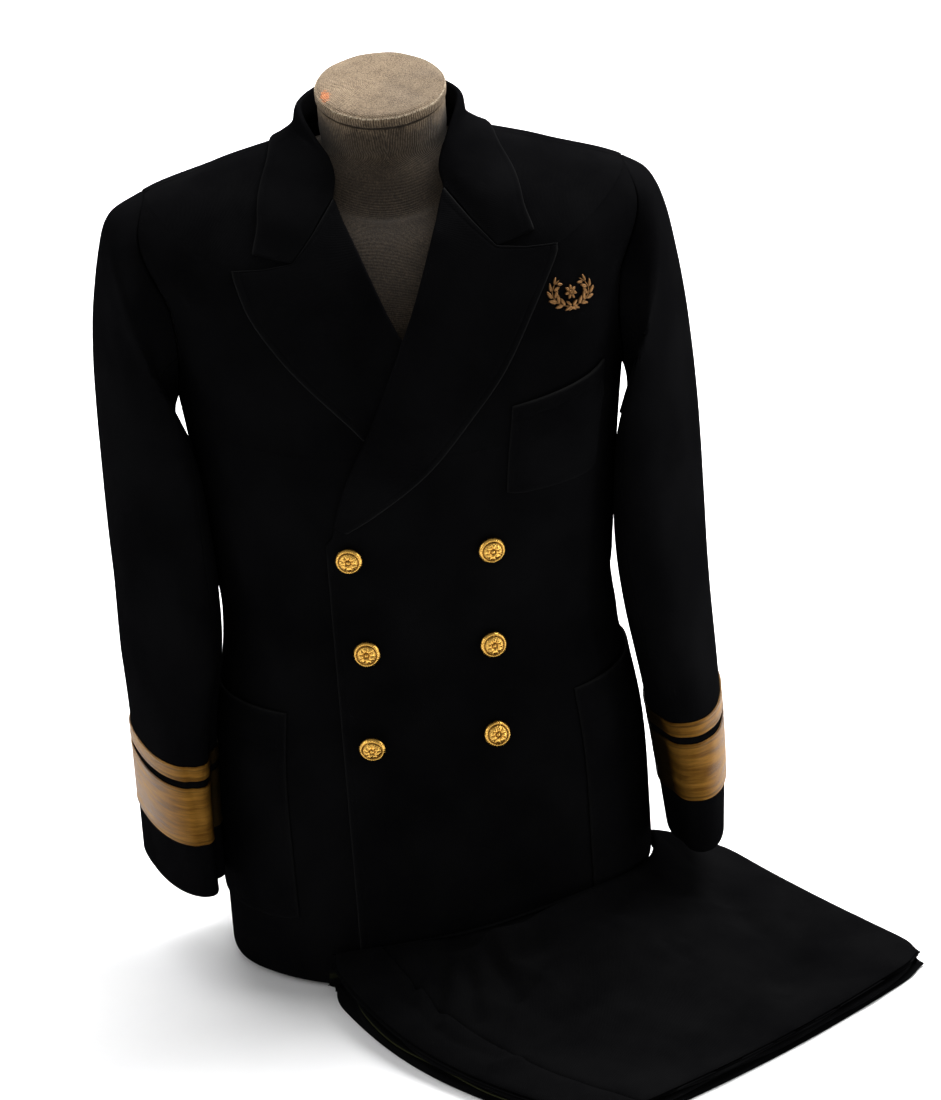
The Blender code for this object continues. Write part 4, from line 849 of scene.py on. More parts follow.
# Jacket
def panel_rows():
    """Rows of the fine panels, with more of them round the armhole."""
    low, high = ARMHOLE_ROW - ARMHOLE_ROWS, ARMHOLE_ROW + ARMHOLE_ROWS
    below = stations(0.46, 0.0072) * low
    above = high + (NECK_RING - high) * np.linspace(0, 1, 22)
    turns = np.radians(np.linspace(180, 0, 45))
    return np.concatenate((below[:-1], ARMHOLE_ROW + ARMHOLE_ROWS * np.cos(turns), above[1:]))


def armhole_reach(rows):
    """Half width of the armhole at each row, as an angle; 0 above and below it."""
    share = (rows - ARMHOLE_ROW) / ARMHOLE_ROWS
    return ARMHOLE_SPREAD * np.sqrt(np.clip(1.0 - share * share, 0.0, 1.0))


FRONT_LENGTH = 0.33
BACK_LENGTH = 0.20
STITCH_IN = 0.0060


def front_panel(side, name):
    """A front, with a stitched free edge below the lapel."""
    rows = panel_rows()
    start = np.where(rows <= BREAK_ROW, angle_at(rows, 0 * rows - LAP), angle_at(rows, roll_x(rows)))
    seam = seam_angle(rows)
    end = seam - armhole_reach(rows) - gap_angle(rows, seam, 0.00015)
    shares = stations(FRONT_LENGTH, 0.0055, (STITCH_IN,))
    angles = side * (start[:, None] + (end - start)[:, None] * shares)
    grid_rows = rows[:, None] + 0 * angles
    stitched = 1.0 - fade(grid_rows, BREAK_ROW - 0.3, BREAK_ROW)
    lift = edge_drop(rows / NECK_RING, shares) + stitched * groove(shares * FRONT_LENGTH, STITCH_IN)
    outer = front_surface(side, grid_rows, angles, lift)
    inner = front_surface(side, grid_rows, angles, -CLOTH)
    # Painted highlight along the stitched free edge.
    edge_highlight_tint = 0.5 * stitched * edge_highlight(shares * FRONT_LENGTH)
    return wall(name, outer, inner, "navy_wool", tints=edge_highlight_tint)


def back_panel(side, name):
    """A back, from the middle seam round to the side seam and the armhole."""
    rows = panel_rows()
    seam = seam_angle(rows)
    start = seam + armhole_reach(rows) + gap_angle(rows, seam, 0.00015)
    end = 180.0 - gap_angle(rows, 0 * rows + 180.0, 0.00015)
    shares = stations(BACK_LENGTH, 0.0058)
    angles = side * (start[:, None] + (end - start)[:, None] * shares)
    grid_rows = rows[:, None] + 0 * angles
    outer = body(grid_rows, angles, edge_drop(rows / NECK_RING, shares))
    inner = body(grid_rows, angles, -CLOTH + 0 * angles)
    return wall(name, outer, inner, "navy_wool")


HEAD_DROP = 0.0016
HEAD_ROW = 0.05
SLEEVE_LENGTH = 0.62


def sleeve_piece(side, name, first, last):
    """One piece of a sleeve between its seams, from the armhole to the cuff."""
    rows = np.concatenate(((0.0, 0.02, 0.045, 0.08, 0.13), np.linspace(0.2, 9.96, 118), (9.985, 10.0)))
    arc = (last - first) * 0.00135
    shares = stations(arc, 0.0042)
    trim = 0.0004 / arc
    turns = first + (last - first) * (trim + (1 - 2 * trim) * shares)
    grid_rows, grid_turns = np.meshgrid(rows, turns, indexing="ij")
    lift = edge_drop(rows / 10.0, shares) - HEAD_DROP * np.exp(-((grid_rows / HEAD_ROW) ** 2))
    outer = sleeve(side, grid_rows, grid_turns, lift)
    inner = sleeve(side, grid_rows, grid_turns, lift * (grid_rows < 1.0) - CLOTH)
    return wall(name, outer, inner, "navy_wool")


LACE_LIFT = 0.0004
LACE_THICKNESS = 0.0010
LACE_CORD = 0.00035
# Painted shade on the lace, on the cuff's inner side that is turned from the light, between these angles.
LACE_PAINTED_SHADE_TURNS = {"left": (112.0, 215.0), "right": (98.0, 215.0)}


def lace_piece(side, name, above, width):
    """A stripe of lace round a cuff, with a raised cord along both borders."""
    fine_rows = np.linspace(6.0, 10.0, 800)
    heights = spline(SLEEVE["z_out"], fine_rows)
    shares = stations(width, 0.0036, (0.0022, width - 0.0022))
    levels = SLEEVE["z_out"][-1] + above + width * shares
    rows = np.interp(-levels, -heights, fine_rows)
    turns = np.linspace(0, 360, 220, endpoint=False)
    grid_rows, grid_turns = np.meshgrid(rows, turns, indexing="ij")
    from_edge = np.minimum(shares, 1 - shares)[:, None] * width
    cord = LACE_CORD * np.exp(-(((from_edge - 0.0012) / 0.0008) ** 2))
    drop = -EDGE_DROP * ((shares == 0) | (shares == 1))[:, None]
    lift = LACE_LIFT + LACE_THICKNESS + cord + drop + 0 * grid_turns
    outer = sleeve(side, grid_rows, grid_turns, lift)
    inner = sleeve(side, grid_rows, grid_turns, LACE_LIFT + 0 * grid_turns)
    # Painted shade on the cuff's inner side, turned from the light; the borders get darker woven lines.
    start, end = LACE_PAINTED_SHADE_TURNS["left" if side > 0 else "right"]
    tarnish_and_painted_shade = 0.9 * fade(grid_turns, start, start + 16.0) * (1 - fade(grid_turns, end, end + 30.0))
    borders = 0.5 * np.exp(-(((from_edge - 0.0030) / 0.0005) ** 2))
    return wall(name, outer, inner, "gold_lace", closed=True, tints=np.maximum(tarnish_and_painted_shade, borders))


LAPEL_THICKNESS = (0.0012, 0.0021)
ROLL_STEPS = 11
ROLL_RADIUS = 0.0022
ROLL_FLOOR = -0.0014
ROLL_TAIL = 0.0060
LAPEL_BELLY = 0.0022


def lapel_piece(side, name):
    """A lapel: rolled round the front's free edge, laid on the chest and stitched along its edges."""
    edge = np.array(LEFT_LAPEL_EDGE if side > 0 else RIGHT_LAPEL_EDGE)
    top = np.array([(side * x, z) for x, z in GORGE + LAPEL_TOP])
    low_row = float(place_on_front(*edge[0])[0])
    up = stations(0.25, 0.0032, (0.25 - STITCH_IN,))
    roll_rows = max(low_row, BREAK_ROW) + LAPEL_END
    roll_rows = roll_rows + (LAPEL_ROLL_TOP - roll_rows) * up
    x = side * roll_x(roll_rows)
    tucked = (side < 0) & (roll_x(roll_rows) < 0.0)
    x = np.where(tucked, roll_x(roll_rows) + 0.0015, x)
    spin = fade(up, 0.93, 1.0)
    z = body_bare(roll_rows, angle_at(roll_rows, x))[:, 2]
    roll = np.stack((x, z), -1)
    roll = roll + spin[:, None] * (top[0] - roll[-1])
    far = spline(edge, up * (len(edge) - 1))
    width = np.maximum(np.linalg.norm(far - roll, axis=1), 0.002)
    near = np.minimum(np.array((0.0, 0.9, 1.8, 3.4, 5.0, 5.6, 6.0, 6.4, 7.0, 8.5)) / 1000, 1.0)
    scale = np.minimum(1.0, width / 0.024)[:, None]
    edge_shares = 1.0 - near[None, ::-1] * scale / width[:, None]
    inner_count = 26
    inner_shares = edge_shares[:, :1] * np.linspace(0, 1, inner_count, endpoint=False)[None, :]
    across = np.concatenate((inner_shares, edge_shares), 1)
    places = across * (len(top) - 1)
    gorge = bent(top, places)
    straight = (1 - across)[..., None] * roll[:, None] + across[..., None] * far[:, None]
    chord = (1 - across)[..., None] * top[0] + across[..., None] * top[-1]
    place = straight + (up**GORGE_REACH)[:, None, None] * (gorge - chord)
    row, angle = place_on_front(place[..., 0], place[..., 1])
    in_from_edge = (1 - across) * width[:, None]
    from_roll = across * width[:, None]
    top_gap = (1 - up)[:, None] * 0.25
    open_up = fade(width, 0.012, 0.05)[:, None]
    belly = LAPEL_BELLY * open_up * np.exp(-from_roll / 0.018) * (1 - 0.6 * fade(up, 0.7, 1.0)[:, None])
    stitching = groove(in_from_edge, STITCH_IN) * open_up, groove(top_gap, STITCH_IN) * open_up
    lift = LAYER_GAP + CLOTH + belly + stitching[0] + stitching[1]
    lift = lift - EDGE_DROP * ((across >= 1.0) | (up == 1.0)[:, None] | (up == 0.0)[:, None])
    low_end = (1 - fade(up, 0.0, 0.05))[:, None]
    lift = lift - low_end * 0.0008
    under = (1 - fade(from_roll, 0.0, 0.004)) * tucked[:, None]
    lift = lift - under * 0.0016
    flat = front_surface(side, row, angle, lift)
    # The roll: from the lapel's first column round the front's edge and back inside it.
    turns = np.linspace(180.0, 0.0, ROLL_STEPS)[:-1]
    roll_top = lift[:, :1]
    floor = np.where(tucked, 0.3 * roll_top[:, 0], ROLL_FLOOR)[:, None]
    middle, radius = (roll_top + floor) / 2, (roll_top - floor) / 2
    reach = np.minimum(ROLL_RADIUS, radius) * np.sin(np.radians(turns)) * np.where(tucked, 0.3, 1.0)[:, None]
    shift = gap_angle(row[:, :1], angle[:, :1], 1.0) * reach
    tail_shift = gap_angle(row[:, :1], angle[:, :1], ROLL_TAIL)
    roll_rows_grid = row[:, :1] + 0 * reach
    wrap_lift = middle + radius * np.cos(np.radians(turns))
    wrap = front_surface(side, roll_rows_grid, angle[:, :1] - side * shift, wrap_lift)
    tail = front_surface(side, row[:, :1], angle[:, :1] + side * tail_shift, floor)
    outer = np.concatenate((tail, wrap, flat), 1)
    total = outer.shape[1]
    columns = np.arange(total) / (total - 1)
    thickness = LAPEL_THICKNESS[0] + (LAPEL_THICKNESS[1] - LAPEL_THICKNESS[0]) * fade(columns, 0.45, 0.9)
    inner = outer - side * thickness[None, :, None] * normals_of(outer)
    # Painted highlight along the lapel's outer edge and top.
    edge_highlight_tint = np.zeros((len(up), total))
    edge_highlight_tint[:, -across.shape[1]:] = edge_highlight(in_from_edge, top_gap + 0 * across)
    return wall(name, outer, inner, "navy_wool", tints=edge_highlight_tint)


def collar_end(part):
    """Row and angle of the collar's end, from its corner by the notch and along the gorge."""
    line = np.array((COLLAR_CORNER,) + tuple((x + 0.0004, z + 0.0004) for x, z in reversed(GORGE)))
    row, angle = place_on_front(*bent(line, part * (len(line) - 1)))
    return float(row), float(angle)


def collar_section(share):
    """One cross-section of the collar, as rows, angles and lifts, from its edge to the foot of its stand."""
    edge_line = np.array((collar_end(0.0),) + COLLAR_EDGE)
    edge_row, edge_angle = spline(edge_line, share * (len(edge_line) - 1))
    neck_angle = float(angle_at(NECK_RING, roll_x(NECK_RING)))
    if share < COLLAR_TURN:
        end_row = collar_end(1.0)[0]
        row = end_row + (NECK_RING - end_row) * share / COLLAR_TURN
        angle = float(angle_at(row, roll_x(row)))
    else:
        row = NECK_RING
        angle = neck_angle + (180.0 - neck_angle) * (share - COLLAR_TURN) / (1 - COLLAR_TURN)
    neck = fade(share, 0.1, 0.4)
    stand = COLLAR_STAND * fade(share, 0.0, 0.5)
    risen = fade(share, 0.0, 0.14)
    lip = COLLAR_LIP * (1 - fade(share, 0.25, 0.5)) * (COLLAR_END_LIP + (1 - COLLAR_END_LIP) * risen)
    foot = COLLAR_FOOT * fade(share, 0.0, 0.2)
    flat = LAYER_GAP + CLOTH + COLLAR_EDGE_LIFT * risen
    roll_lift = flat + (COLLAR_ROLL - flat) * neck
    places = [(edge_row, edge_angle, flat)]
    bow = (1 - share) ** GORGE_FADE
    for part in (1 / 3, 2 / 3):
        end_row, end_angle = collar_end(part)
        fall_row = edge_row + (row + stand - edge_row) * part
        fall_angle = edge_angle + (angle - edge_angle) * part
        lift = flat + (roll_lift - flat) * part + COLLAR_BULGE * risen
        fall_row = fall_row + bow * (end_row - fall_row)
        fall_angle = fall_angle + bow * (end_angle - fall_angle)
        places.append((fall_row, fall_angle, lift))
    for height, with_foot, turn, lift in COLLAR_STAND_SECTION:
        places.append((row + height * stand + with_foot * foot, angle - turn * lip, lift * roll_lift))
    places.append((row + foot, angle - COLLAR_FOOT_LIP * lip, COLLAR_TUCK * (1 - neck)))
    return np.array(places)


COLLAR_CUTS = 60
COLLAR_FINE = 40


def collar_piece(name):
    """The collar, turned over its stand, stitched along its edge."""
    near_edge = (0.0, 0.04, 0.09, 0.16, 0.24, 0.30, 0.36, 0.45, 0.60, 0.75, 0.88)
    at = np.concatenate((near_edge, np.linspace(1.0, 6.0, COLLAR_FINE)))
    shares = np.concatenate(((0.0, 0.0045, 0.010), np.linspace(0.02, 1.0, COLLAR_CUTS)))
    halves = {}
    for side in (1, -1):
        lines = []
        for share in shares:
            section = collar_section(share)
            straight = bent(section, at)
            rounded = float(fade(share, 0.0, 0.07))
            places = straight + rounded * (spline(section, at) - straight)
            angle = side * places[:, 1]
            base = left_lift(places[:, 1]) if side > 0 else 0.0
            lift = places[:, 2] + base
            if share > 0.03:
                lift = lift + GROOVE_DEPTH * -np.exp(-(((at - 0.24) / 0.05) ** 2))
            lines.append(body(places[:, 0], angle, lift))
        halves[side] = np.array(lines)
    seam = (halves[1][-1] + halves[-1][-1]) / 2
    outer = np.concatenate((halves[-1][:-1], seam[None], halves[1][:-1][::-1]))
    normal = normals_of(outer)
    if normal[len(outer) // 2, 6, 1] < 0:
        normal = -normal
    outer[[0, -1]] -= EDGE_DROP * normal[[0, -1]]
    outer[:, 0] -= EDGE_DROP * normal[:, 0]
    # Painted highlight along the collar's edge.
    edge_highlight_tint = np.broadcast_to(0.7 * np.exp(-at / 0.03), outer.shape[:2])
    return wall(name, outer, outer - CLOTH * normal, "navy_wool", tints=edge_highlight_tint)


POCKET_LIFT = 0.0004
POCKET_PUFF = 0.0014
POCKET_CORNER = 0.05


def pocket_piece(shape):
    """A patch pocket: turned hem along its top, stitching round its edges, a little full in its middle."""
    side = shape["side"]
    places = (shape[key] for key in ("top_front", "top_back", "bottom_front"))
    top_front, top_back, bottom_front = (body_bare(row, side * angle) for row, angle in places)
    width = float(np.linalg.norm(top_back - top_front)) * 1.05
    depth = float(np.linalg.norm(bottom_front - top_front))
    across = stations(width, 0.0042, (STITCH_IN, width - STITCH_IN))
    down = stations(depth, 0.0042, (shape["hem"], depth - STITCH_IN))
    a, d = across[None, :, None], down[:, None, None]
    top = (1 - a) * np.array(shape["top_front"]) + a * np.array(shape["top_back"])
    low = (1 - a) * np.array(shape["bottom_front"]) + a * np.array(shape["bottom_back"])
    place = (1 - d) * top + d * low
    rounded = POCKET_CORNER * fade(down, 0.86, 1.0)[:, None] ** 2 * np.abs(2 * across - 1)[None, :] ** 8
    row, angle = place[..., 0] + rounded, side * place[..., 1]
    in_sides = np.minimum(across, 1 - across)[None, :] * width
    in_low, in_top = (1 - down)[:, None] * depth, down[:, None] * depth
    inside = np.minimum(1.0, np.minimum(in_sides, in_low) / 0.012)
    full = 0.5 + 0.5 * np.cos(np.pi * (down[:, None] - 0.5))
    lift = POCKET_LIFT + CLOTH + POCKET_PUFF * inside**0.7 * full
    lift = lift + groove(in_sides, STITCH_IN) * (in_low > 0.004)
    lift = lift + groove(in_low, STITCH_IN) * (in_sides > 0.004)
    lift = lift + groove(in_top, shape["hem"]) * 1.6 + edge_drop(down, across) * 1.4
    mouth = 0.0012 * np.exp(-in_top / 0.01) * np.sin(np.pi * across)[None, :]
    outer = front_surface(side, row, angle, lift + mouth)
    inner = front_surface(side, row, angle, POCKET_LIFT + mouth + 0 * lift)
    # Painted highlight along the pocket's edges.
    edge_highlight_tint = 0.8 * edge_highlight(in_top + 0 * in_sides, in_sides + 0.0006, in_low + 0.0006)
    return wall(shape["name"], outer, inner, "navy_wool", tints=edge_highlight_tint)


BUTTON_RINGS = 44
BUTTON_TURNS = 120


def placing(point, normal, across=(1.0, 0.0, 0.0)):
    """Matrix with Z along a normal, X as near as may be to a direction, and its origin at a point."""
    z_axis = Vector(normal).normalized()
    x_axis = Vector(across) - Vector(across).dot(z_axis) * z_axis
    x_axis.normalize()
    turn = Matrix((x_axis, z_axis.cross(x_axis), z_axis)).transposed().to_4x4()
    return Matrix.Translation(point) @ turn


def moved(points, matrix):
    """Points placed by a matrix."""
    array = np.array(matrix)
    return points @ array[:3, :3].T + array[:3, 3]


def turned_grid(radii, heights, turns):
    """Points of a surface turned round Z, whose heights may change with the turn."""
    t = np.radians(turns)[None, :]
    r = np.asarray(radii)[:, None]
    return np.stack((r * np.cos(t), r * np.sin(t), heights), -1)


def turned_piece(name, grid, slot, tints):
    """A closed mesh from rings of points, closed with a point at both ends."""
    rings, count = grid.shape[:2]
    points = np.concatenate((grid.reshape(-1, 3), [grid[0].mean(0), grid[-1].mean(0)]))
    k = np.arange(count)
    after = (k + 1) % count
    faces = []
    for i in range(rings - 1):
        here, above = i * count, (i + 1) * count
        faces.append(np.stack((here + k, here + after, above + after, above + k), 1))
    faces = np.concatenate(faces).tolist()
    start = (rings - 1) * count
    faces += [(rings * count, b, a) for a, b in zip(k, after)]
    faces += [(rings * count + 1, start + a, start + b) for a, b in zip(k, after)]
    mesh = bpy.data.meshes.new(name)
    mesh.from_pydata(points.tolist(), [], [tuple(int(v) for v in face) for face in faces])
    set_tint(mesh, np.concatenate((tints.ravel(), tints[0, :1], tints[-1, :1])))
    return placed(name, mesh, slot)


def button_piece(shape):
    """A domed gilt button with a roped rim and an eight-petalled rosette, on its shank."""
    radius = BUTTON_RADIUS
    turns = np.linspace(0, 360, BUTTON_TURNS, endpoint=False)
    t = np.radians(turns)[None, :]
    inside = np.linspace(1.0, 0.0, BUTTON_RINGS)[:-1]
    r = inside[:, None] * radius
    dome = 0.0040 * (1 - (r / radius) ** 2) ** 0.6
    rope = 0.00075 * np.exp(-(((r - 0.0096) / 0.0010) ** 2)) * (0.72 + 0.28 * np.sin(36 * t + 900 * r))
    ditch = -0.0007 * np.exp(-(((r - 0.0082) / 0.0006) ** 2))
    petal = np.abs(np.cos(4 * t)) ** 0.6 * np.exp(-(((r - 0.0048) / 0.0017) ** 4)) * 0.0011
    vein = -0.0004 * np.exp(-((np.sin(4 * t - np.pi / 2) / 0.16) ** 2))
    vein = vein * np.exp(-(((r - 0.0048) / 0.0015) ** 4))
    beads = 0.0004 * np.exp(-(((r - 0.0071) / 0.0005) ** 2)) * (0.5 + 0.5 * np.cos(24 * t))
    eye = 0.0012 * np.exp(-((r / 0.0012) ** 2)) - 0.0006 * np.exp(-(((r - 0.0021) / 0.0005) ** 2))
    relief = rope + ditch + petal + vein + beads + eye
    # Painted shade: darker where the relief is low, in the rosette's recesses.
    tint = np.clip(0.42 - relief / 0.0016, 0.0, 1.0) + 0.0 * t
    low = shape["shank"]
    shank = [(0.0032, 0.0), (0.0032, low), (0.0096, low), (0.0108, low + 0.0004), (radius, low + 0.0012)]
    below = turned_grid([p[0] for p in shank], np.array([p[1] for p in shank])[:, None] + 0 * t, turns)
    above = turned_grid(inside * radius, low + 0.0020 + dome + relief, turns)
    grid = np.concatenate((below, above))
    tints = np.concatenate((np.full(below.shape[:2], 0.3), tint))
    lean = math.radians(shape["droop"])
    point = front_surface(1, shape["row"], shape["angle"], 0.0)
    normal = outward(body_bare, np.array(shape["row"]), np.array(shape["angle"]))
    lift = 0.0002 + 0.0034 * math.sin(lean)
    spin = Matrix.Rotation(math.radians(SPINS[shape["name"]]), 4, "Z")
    raised = placing(point, normal) @ Matrix.Translation((0.0, 0.0, lift))
    place = raised @ Matrix.Rotation(lean, 4, "X") @ spin
    name = "button_" + shape["name"]
    return turned_piece(name, moved(grid, place), "gilt", tints)


SPINS = {
    "right_top": 4.0, "left_top": -7.0, "right_middle": 12.0, "left_middle": 2.0, "right_bottom": 20.0,
    "left_bottom": -11.0,
}


def badge_surface(x, y, lift):
    """Points on the left breast, x and y away from the badge's middle."""
    centre = body_bare(BADGE_ROW, BADGE_ANGLE)
    row, angle = place_on_front(centre[0] + x * BADGE_TURN, centre[2] + y)
    return front_surface(1, row, angle, lift)


LEAF_LENGTHS = (0.0064, 0.0074, 0.0078, 0.0074, 0.0066, 0.0056)
LEAF_CELLS = (26, 10)
BADGE_BED = 0.0012


def relief_patch(centre, heading, length, width, height, ribs):
    """A raised leaf of coiled wire: points, tint and faces of its top and its foot."""
    along, across = np.meshgrid(
        np.linspace(-1, 1, LEAF_CELLS[0]), np.linspace(-1, 1, LEAF_CELLS[1]), indexing="ij",
    )
    outline = np.clip(1 - np.abs(along) ** 2.2, 0.0, 1.0) ** 0.7 * (1 - 0.25 * along)
    dome = np.sqrt(np.clip(1 - across**2, 0, 1)) * np.clip(1 - along**4, 0, 1) ** 0.5
    coil = np.abs(np.sin(ribs * np.pi * (along + 0.22 * across)))
    x = along * length / 2
    y = across * outline * width / 2
    cosine, sine = math.cos(heading), math.sin(heading)
    lift = BADGE_BED * 0.4 + dome * height * (0.80 + 0.20 * coil)
    lift = lift - 0.0003 * np.exp(-((across / 0.12) ** 2)) * (dome > 0.3)
    top = badge_surface(centre[0] + x * cosine - y * sine, centre[1] + x * sine + y * cosine, lift)
    foot_x, foot_y = (x * cosine - y * sine) * 0.9, (x * sine + y * cosine) * 0.9
    foot = badge_surface(centre[0] + foot_x, centre[1] + foot_y, 0 * lift + 0.0003)
    # Painted shade: darker between the coils and towards the leaf's foot.
    tint = np.clip(0.9 - 0.75 * dome * (0.55 + 0.45 * coil), 0, 1)
    return top, foot, tint


def badge_piece():
    """The badge: two leafy sprigs in gold bullion round a small rosette, tied below."""
    patches = []
    for side in (1, -1):
        for k, length in enumerate(LEAF_LENGTHS):
            turn = math.radians(-78.0 + 25.0 * k)
            radius_x, radius_y = BADGE_HALF_WIDTH * 0.66, BADGE_HALF_HEIGHT * 0.62
            x, y = radius_x * math.cos(turn), radius_y * math.sin(turn)
            heading = math.atan2(radius_y * math.cos(turn), -radius_x * math.sin(turn))
            for lean, out in ((-34.0, 1.17), (34.0, 0.80)):
                angle = heading + math.radians(lean)
                if side < 0:
                    angle = math.pi - angle
                place = (side * x * out, y * out)
                patches.append(relief_patch(place, angle, length, length * 0.46, 0.0020, 3.5))
            stem = heading if side > 0 else math.pi - heading
            patches.append(relief_patch((side * x, y), stem, length * 1.05, 0.0014, 0.0012, 4.0))
    for k in range(7):
        turn = 2 * math.pi * k / 7 + math.pi / 2
        place = (0.0034 * math.cos(turn), 0.0034 * math.sin(turn))
        patches.append(relief_patch(place, turn, 0.0048, 0.0030, 0.0024, 2.0))
    patches.append(relief_patch((0.0, 0.0), 0.0, 0.0032, 0.0036, 0.0034, 1.5))
    for heading in (0.5, math.pi - 0.5):
        patches.append(relief_patch((0.0, -0.0122), heading, 0.0085, 0.0024, 0.0022, 3.0))
    points, faces, tints = [], [], []
    start = 0
    rows, columns = LEAF_CELLS
    for top, foot, tint in patches:
        block = np.concatenate((top.reshape(-1, 3), foot.reshape(-1, 3)))
        i, j = cells_of(rows - 1, columns - 1)
        a = start + i * columns + j
        quads = np.stack((a, a + 1, a + 1 + columns, a + columns), 1)
        faces += [quads, quads[:, ::-1] + rows * columns]
        index = start + np.array([r * columns + c for r, c in rim_of(rows, columns)])
        after = np.roll(index, -1)
        faces.append(np.stack((index, index + rows * columns, after + rows * columns, after), 1)[:, ::-1])
        # Painted shade: the feet of the leaves are darkest.
        tints += [tint.ravel(), np.ones(rows * columns)]
        points.append(block)
        start += len(block)
    tints = np.concatenate(tints)
    return piece("badge", np.concatenate(points), np.concatenate(faces), "bullion", tints=tints)


# Dress form
FORM_TURNS = 112
FORM_FINE = 5
CAP_PROFILE = np.array((
    (0.0500, 0.0000), (0.0524, 0.0000), (0.0536, 0.0012), (0.0539, 0.0040), (0.0540, 0.0066),
    (0.0537, 0.0082), (0.0526, 0.0092), (0.0519, 0.0090), (0.0512, 0.0094), (0.0480, 0.0106),
    (0.0360, 0.0116), (0.0180, 0.0121), (0.0010, 0.0122),
))
WORN_SPOT = (-0.0435, -0.0130, 0.7425)
WORN_REACH = (0.0060, 0.0130, 0.0110)


def form_pieces():
    """The form's knit-covered body, closed flat underneath, and the cap of its neck."""
    turns = np.linspace(0, 360, FORM_TURNS, endpoint=False)
    loops = []
    for row in FORM_ROWS:
        clear = float(spline(FORM_CLEAR, row)) + CLOTH
        rows = np.full(FORM_TURNS, row)
        loops.append(body_bare(rows, turns) - clear * outward(body_bare, rows, turns))
    loops[0][:, 2] = 0.0
    for radius, below in NECK_RINGS:
        x, y = radius * np.sin(np.radians(turns)), -radius * np.cos(np.radians(turns))
        tilt = NECK_TILT * (1.0 - below / NECK_HEIGHT)
        loops.append(np.stack((x + NECK_X, y + NECK_Y, NECK_TOP - below + y * math.tan(tilt)), -1))
    grid = spline(np.array(loops), np.linspace(0, len(loops) - 1, (len(loops) - 1) * FORM_FINE + 1))
    grid = np.concatenate((grid[:1] * (0.94, 0.94, 1.0), grid))
    torso = tube("form_torso", grid, flat_map(grid, True), "form_knit")
    lean = Matrix.Translation((NECK_X, NECK_Y, NECK_TOP + 0.0004)) @ Matrix.Rotation(NECK_TILT, 4, "X")
    fine = spline(CAP_PROFILE, np.linspace(0, len(CAP_PROFILE) - 1, 61))
    wobble = 0.00025 * np.sin(np.radians(turns) * 5 + 1.0) + 0.0002 * np.sin(np.radians(turns) * 11)
    heights = fine[:, 1][:, None] + wobble[None, :] * (fine[:, 0] > 0.03)[:, None]
    cap = turned_grid(fine[:, 0], heights, turns)
    distance = np.linalg.norm((moved(cap, lean) - np.array(WORN_SPOT)) / np.array(WORN_REACH), axis=-1)
    fray = np.exp(-(((fine[:, 0] - 0.0533) / 0.0010) ** 2)) * (fine[:, 1] > 0.006)
    tint = np.clip(1.15 - distance * 0.6, 0.0, 1.0)
    tint = np.where(tint > 0.2, tint, -0.62 * fray[:, None])
    made = tube("form_neck_cap", moved(cap, lean), flat_map(cap, True), "form_knit", tint.ravel())


def tube(name, grid, uv, slot, tints=None):
    """A closed mesh from rings of points with flat or nearly flat ends."""
    rings, count = grid.shape[:2]
    i, j = cells_of(rings - 1, count)
    here, above, after = i * count, (i + 1) * count, (j + 1) % count
    quads = np.stack((here + j, here + after, above + after, above + j), 1)
    made = piece(name, grid.reshape(-1, 3), quads, slot, corners_of(uv, i, j), tints)
    add_faces(made.data, (range(count - 1, -1, -1), range((rings - 1) * count, rings * count)))
    return made


# Trousers
# How far the stack's corners are rounded off, and how far from them that reaches.
CORNER_ROUND = 0.0095
CORNER_REACH = 0.022
# The stack's sides, from the waist to the fold and from the near edge to the far one, in metres.
STACK_SIDES = (0.46, 0.34)


def hem_points(angle):
    """Points on the floor beside the jacket's hem."""
    height = TROUSER_HEM_CLEAR + fold_height(BODY_FOLDS, 0 * angle, angle)
    return (body_bare(0 * angle, angle) + height[..., None] * outward(body_bare, 0 * angle, angle))[..., :2]


def stack_points(share, across):
    """x and y of the stack's top, by shares from waist to fold and from near edge to far edge."""
    run = np.array(TROUSER_FOLD_NEAR) - TROUSER_WAIST_NEAR
    aside = np.array((run[1], -run[0])) / np.linalg.norm(run)
    near = np.array(TROUSER_WAIST_NEAR) + share[..., None] * run
    near = near + (TROUSER_NEAR_BOW * np.sin(np.pi * share))[..., None] * aside
    low, high = TROUSER_HEM_ANGLES
    along_hem = hem_points(low + (high - low) * np.minimum(share / TROUSER_HEM_SHARE, 1.0))
    past = np.clip((share - TROUSER_HEM_SHARE) / (1 - TROUSER_HEM_SHARE), 0.0, 1.0)[..., None]
    far = along_hem + past * (np.array(TROUSER_FOLD_FAR) - hem_points(np.array(high)))
    corner = hem_points(np.array(low)) - np.array(TROUSER_WAIST_NEAR)
    out = np.array((-corner[1], corner[0])) / np.linalg.norm(corner)
    bow = TROUSER_WAIST_BOW * np.sin(np.pi * across) * (1 - share) ** 3
    point = (1 - across)[..., None] * near + across[..., None] * far + bow[..., None] * out
    corners = (TROUSER_WAIST_NEAR, TROUSER_FOLD_NEAR, TROUSER_FOLD_FAR, hem_points(np.array(low)))
    middle = sum(np.array(corner) for corner in corners) / 4
    for corner in corners:
        inward = (middle - corner) / np.linalg.norm(middle - corner)
        distance = np.linalg.norm(point - corner, axis=-1, keepdims=True)
        point = point + CORNER_ROUND * np.exp(-((distance / CORNER_REACH) ** 2)) * inward
    return point


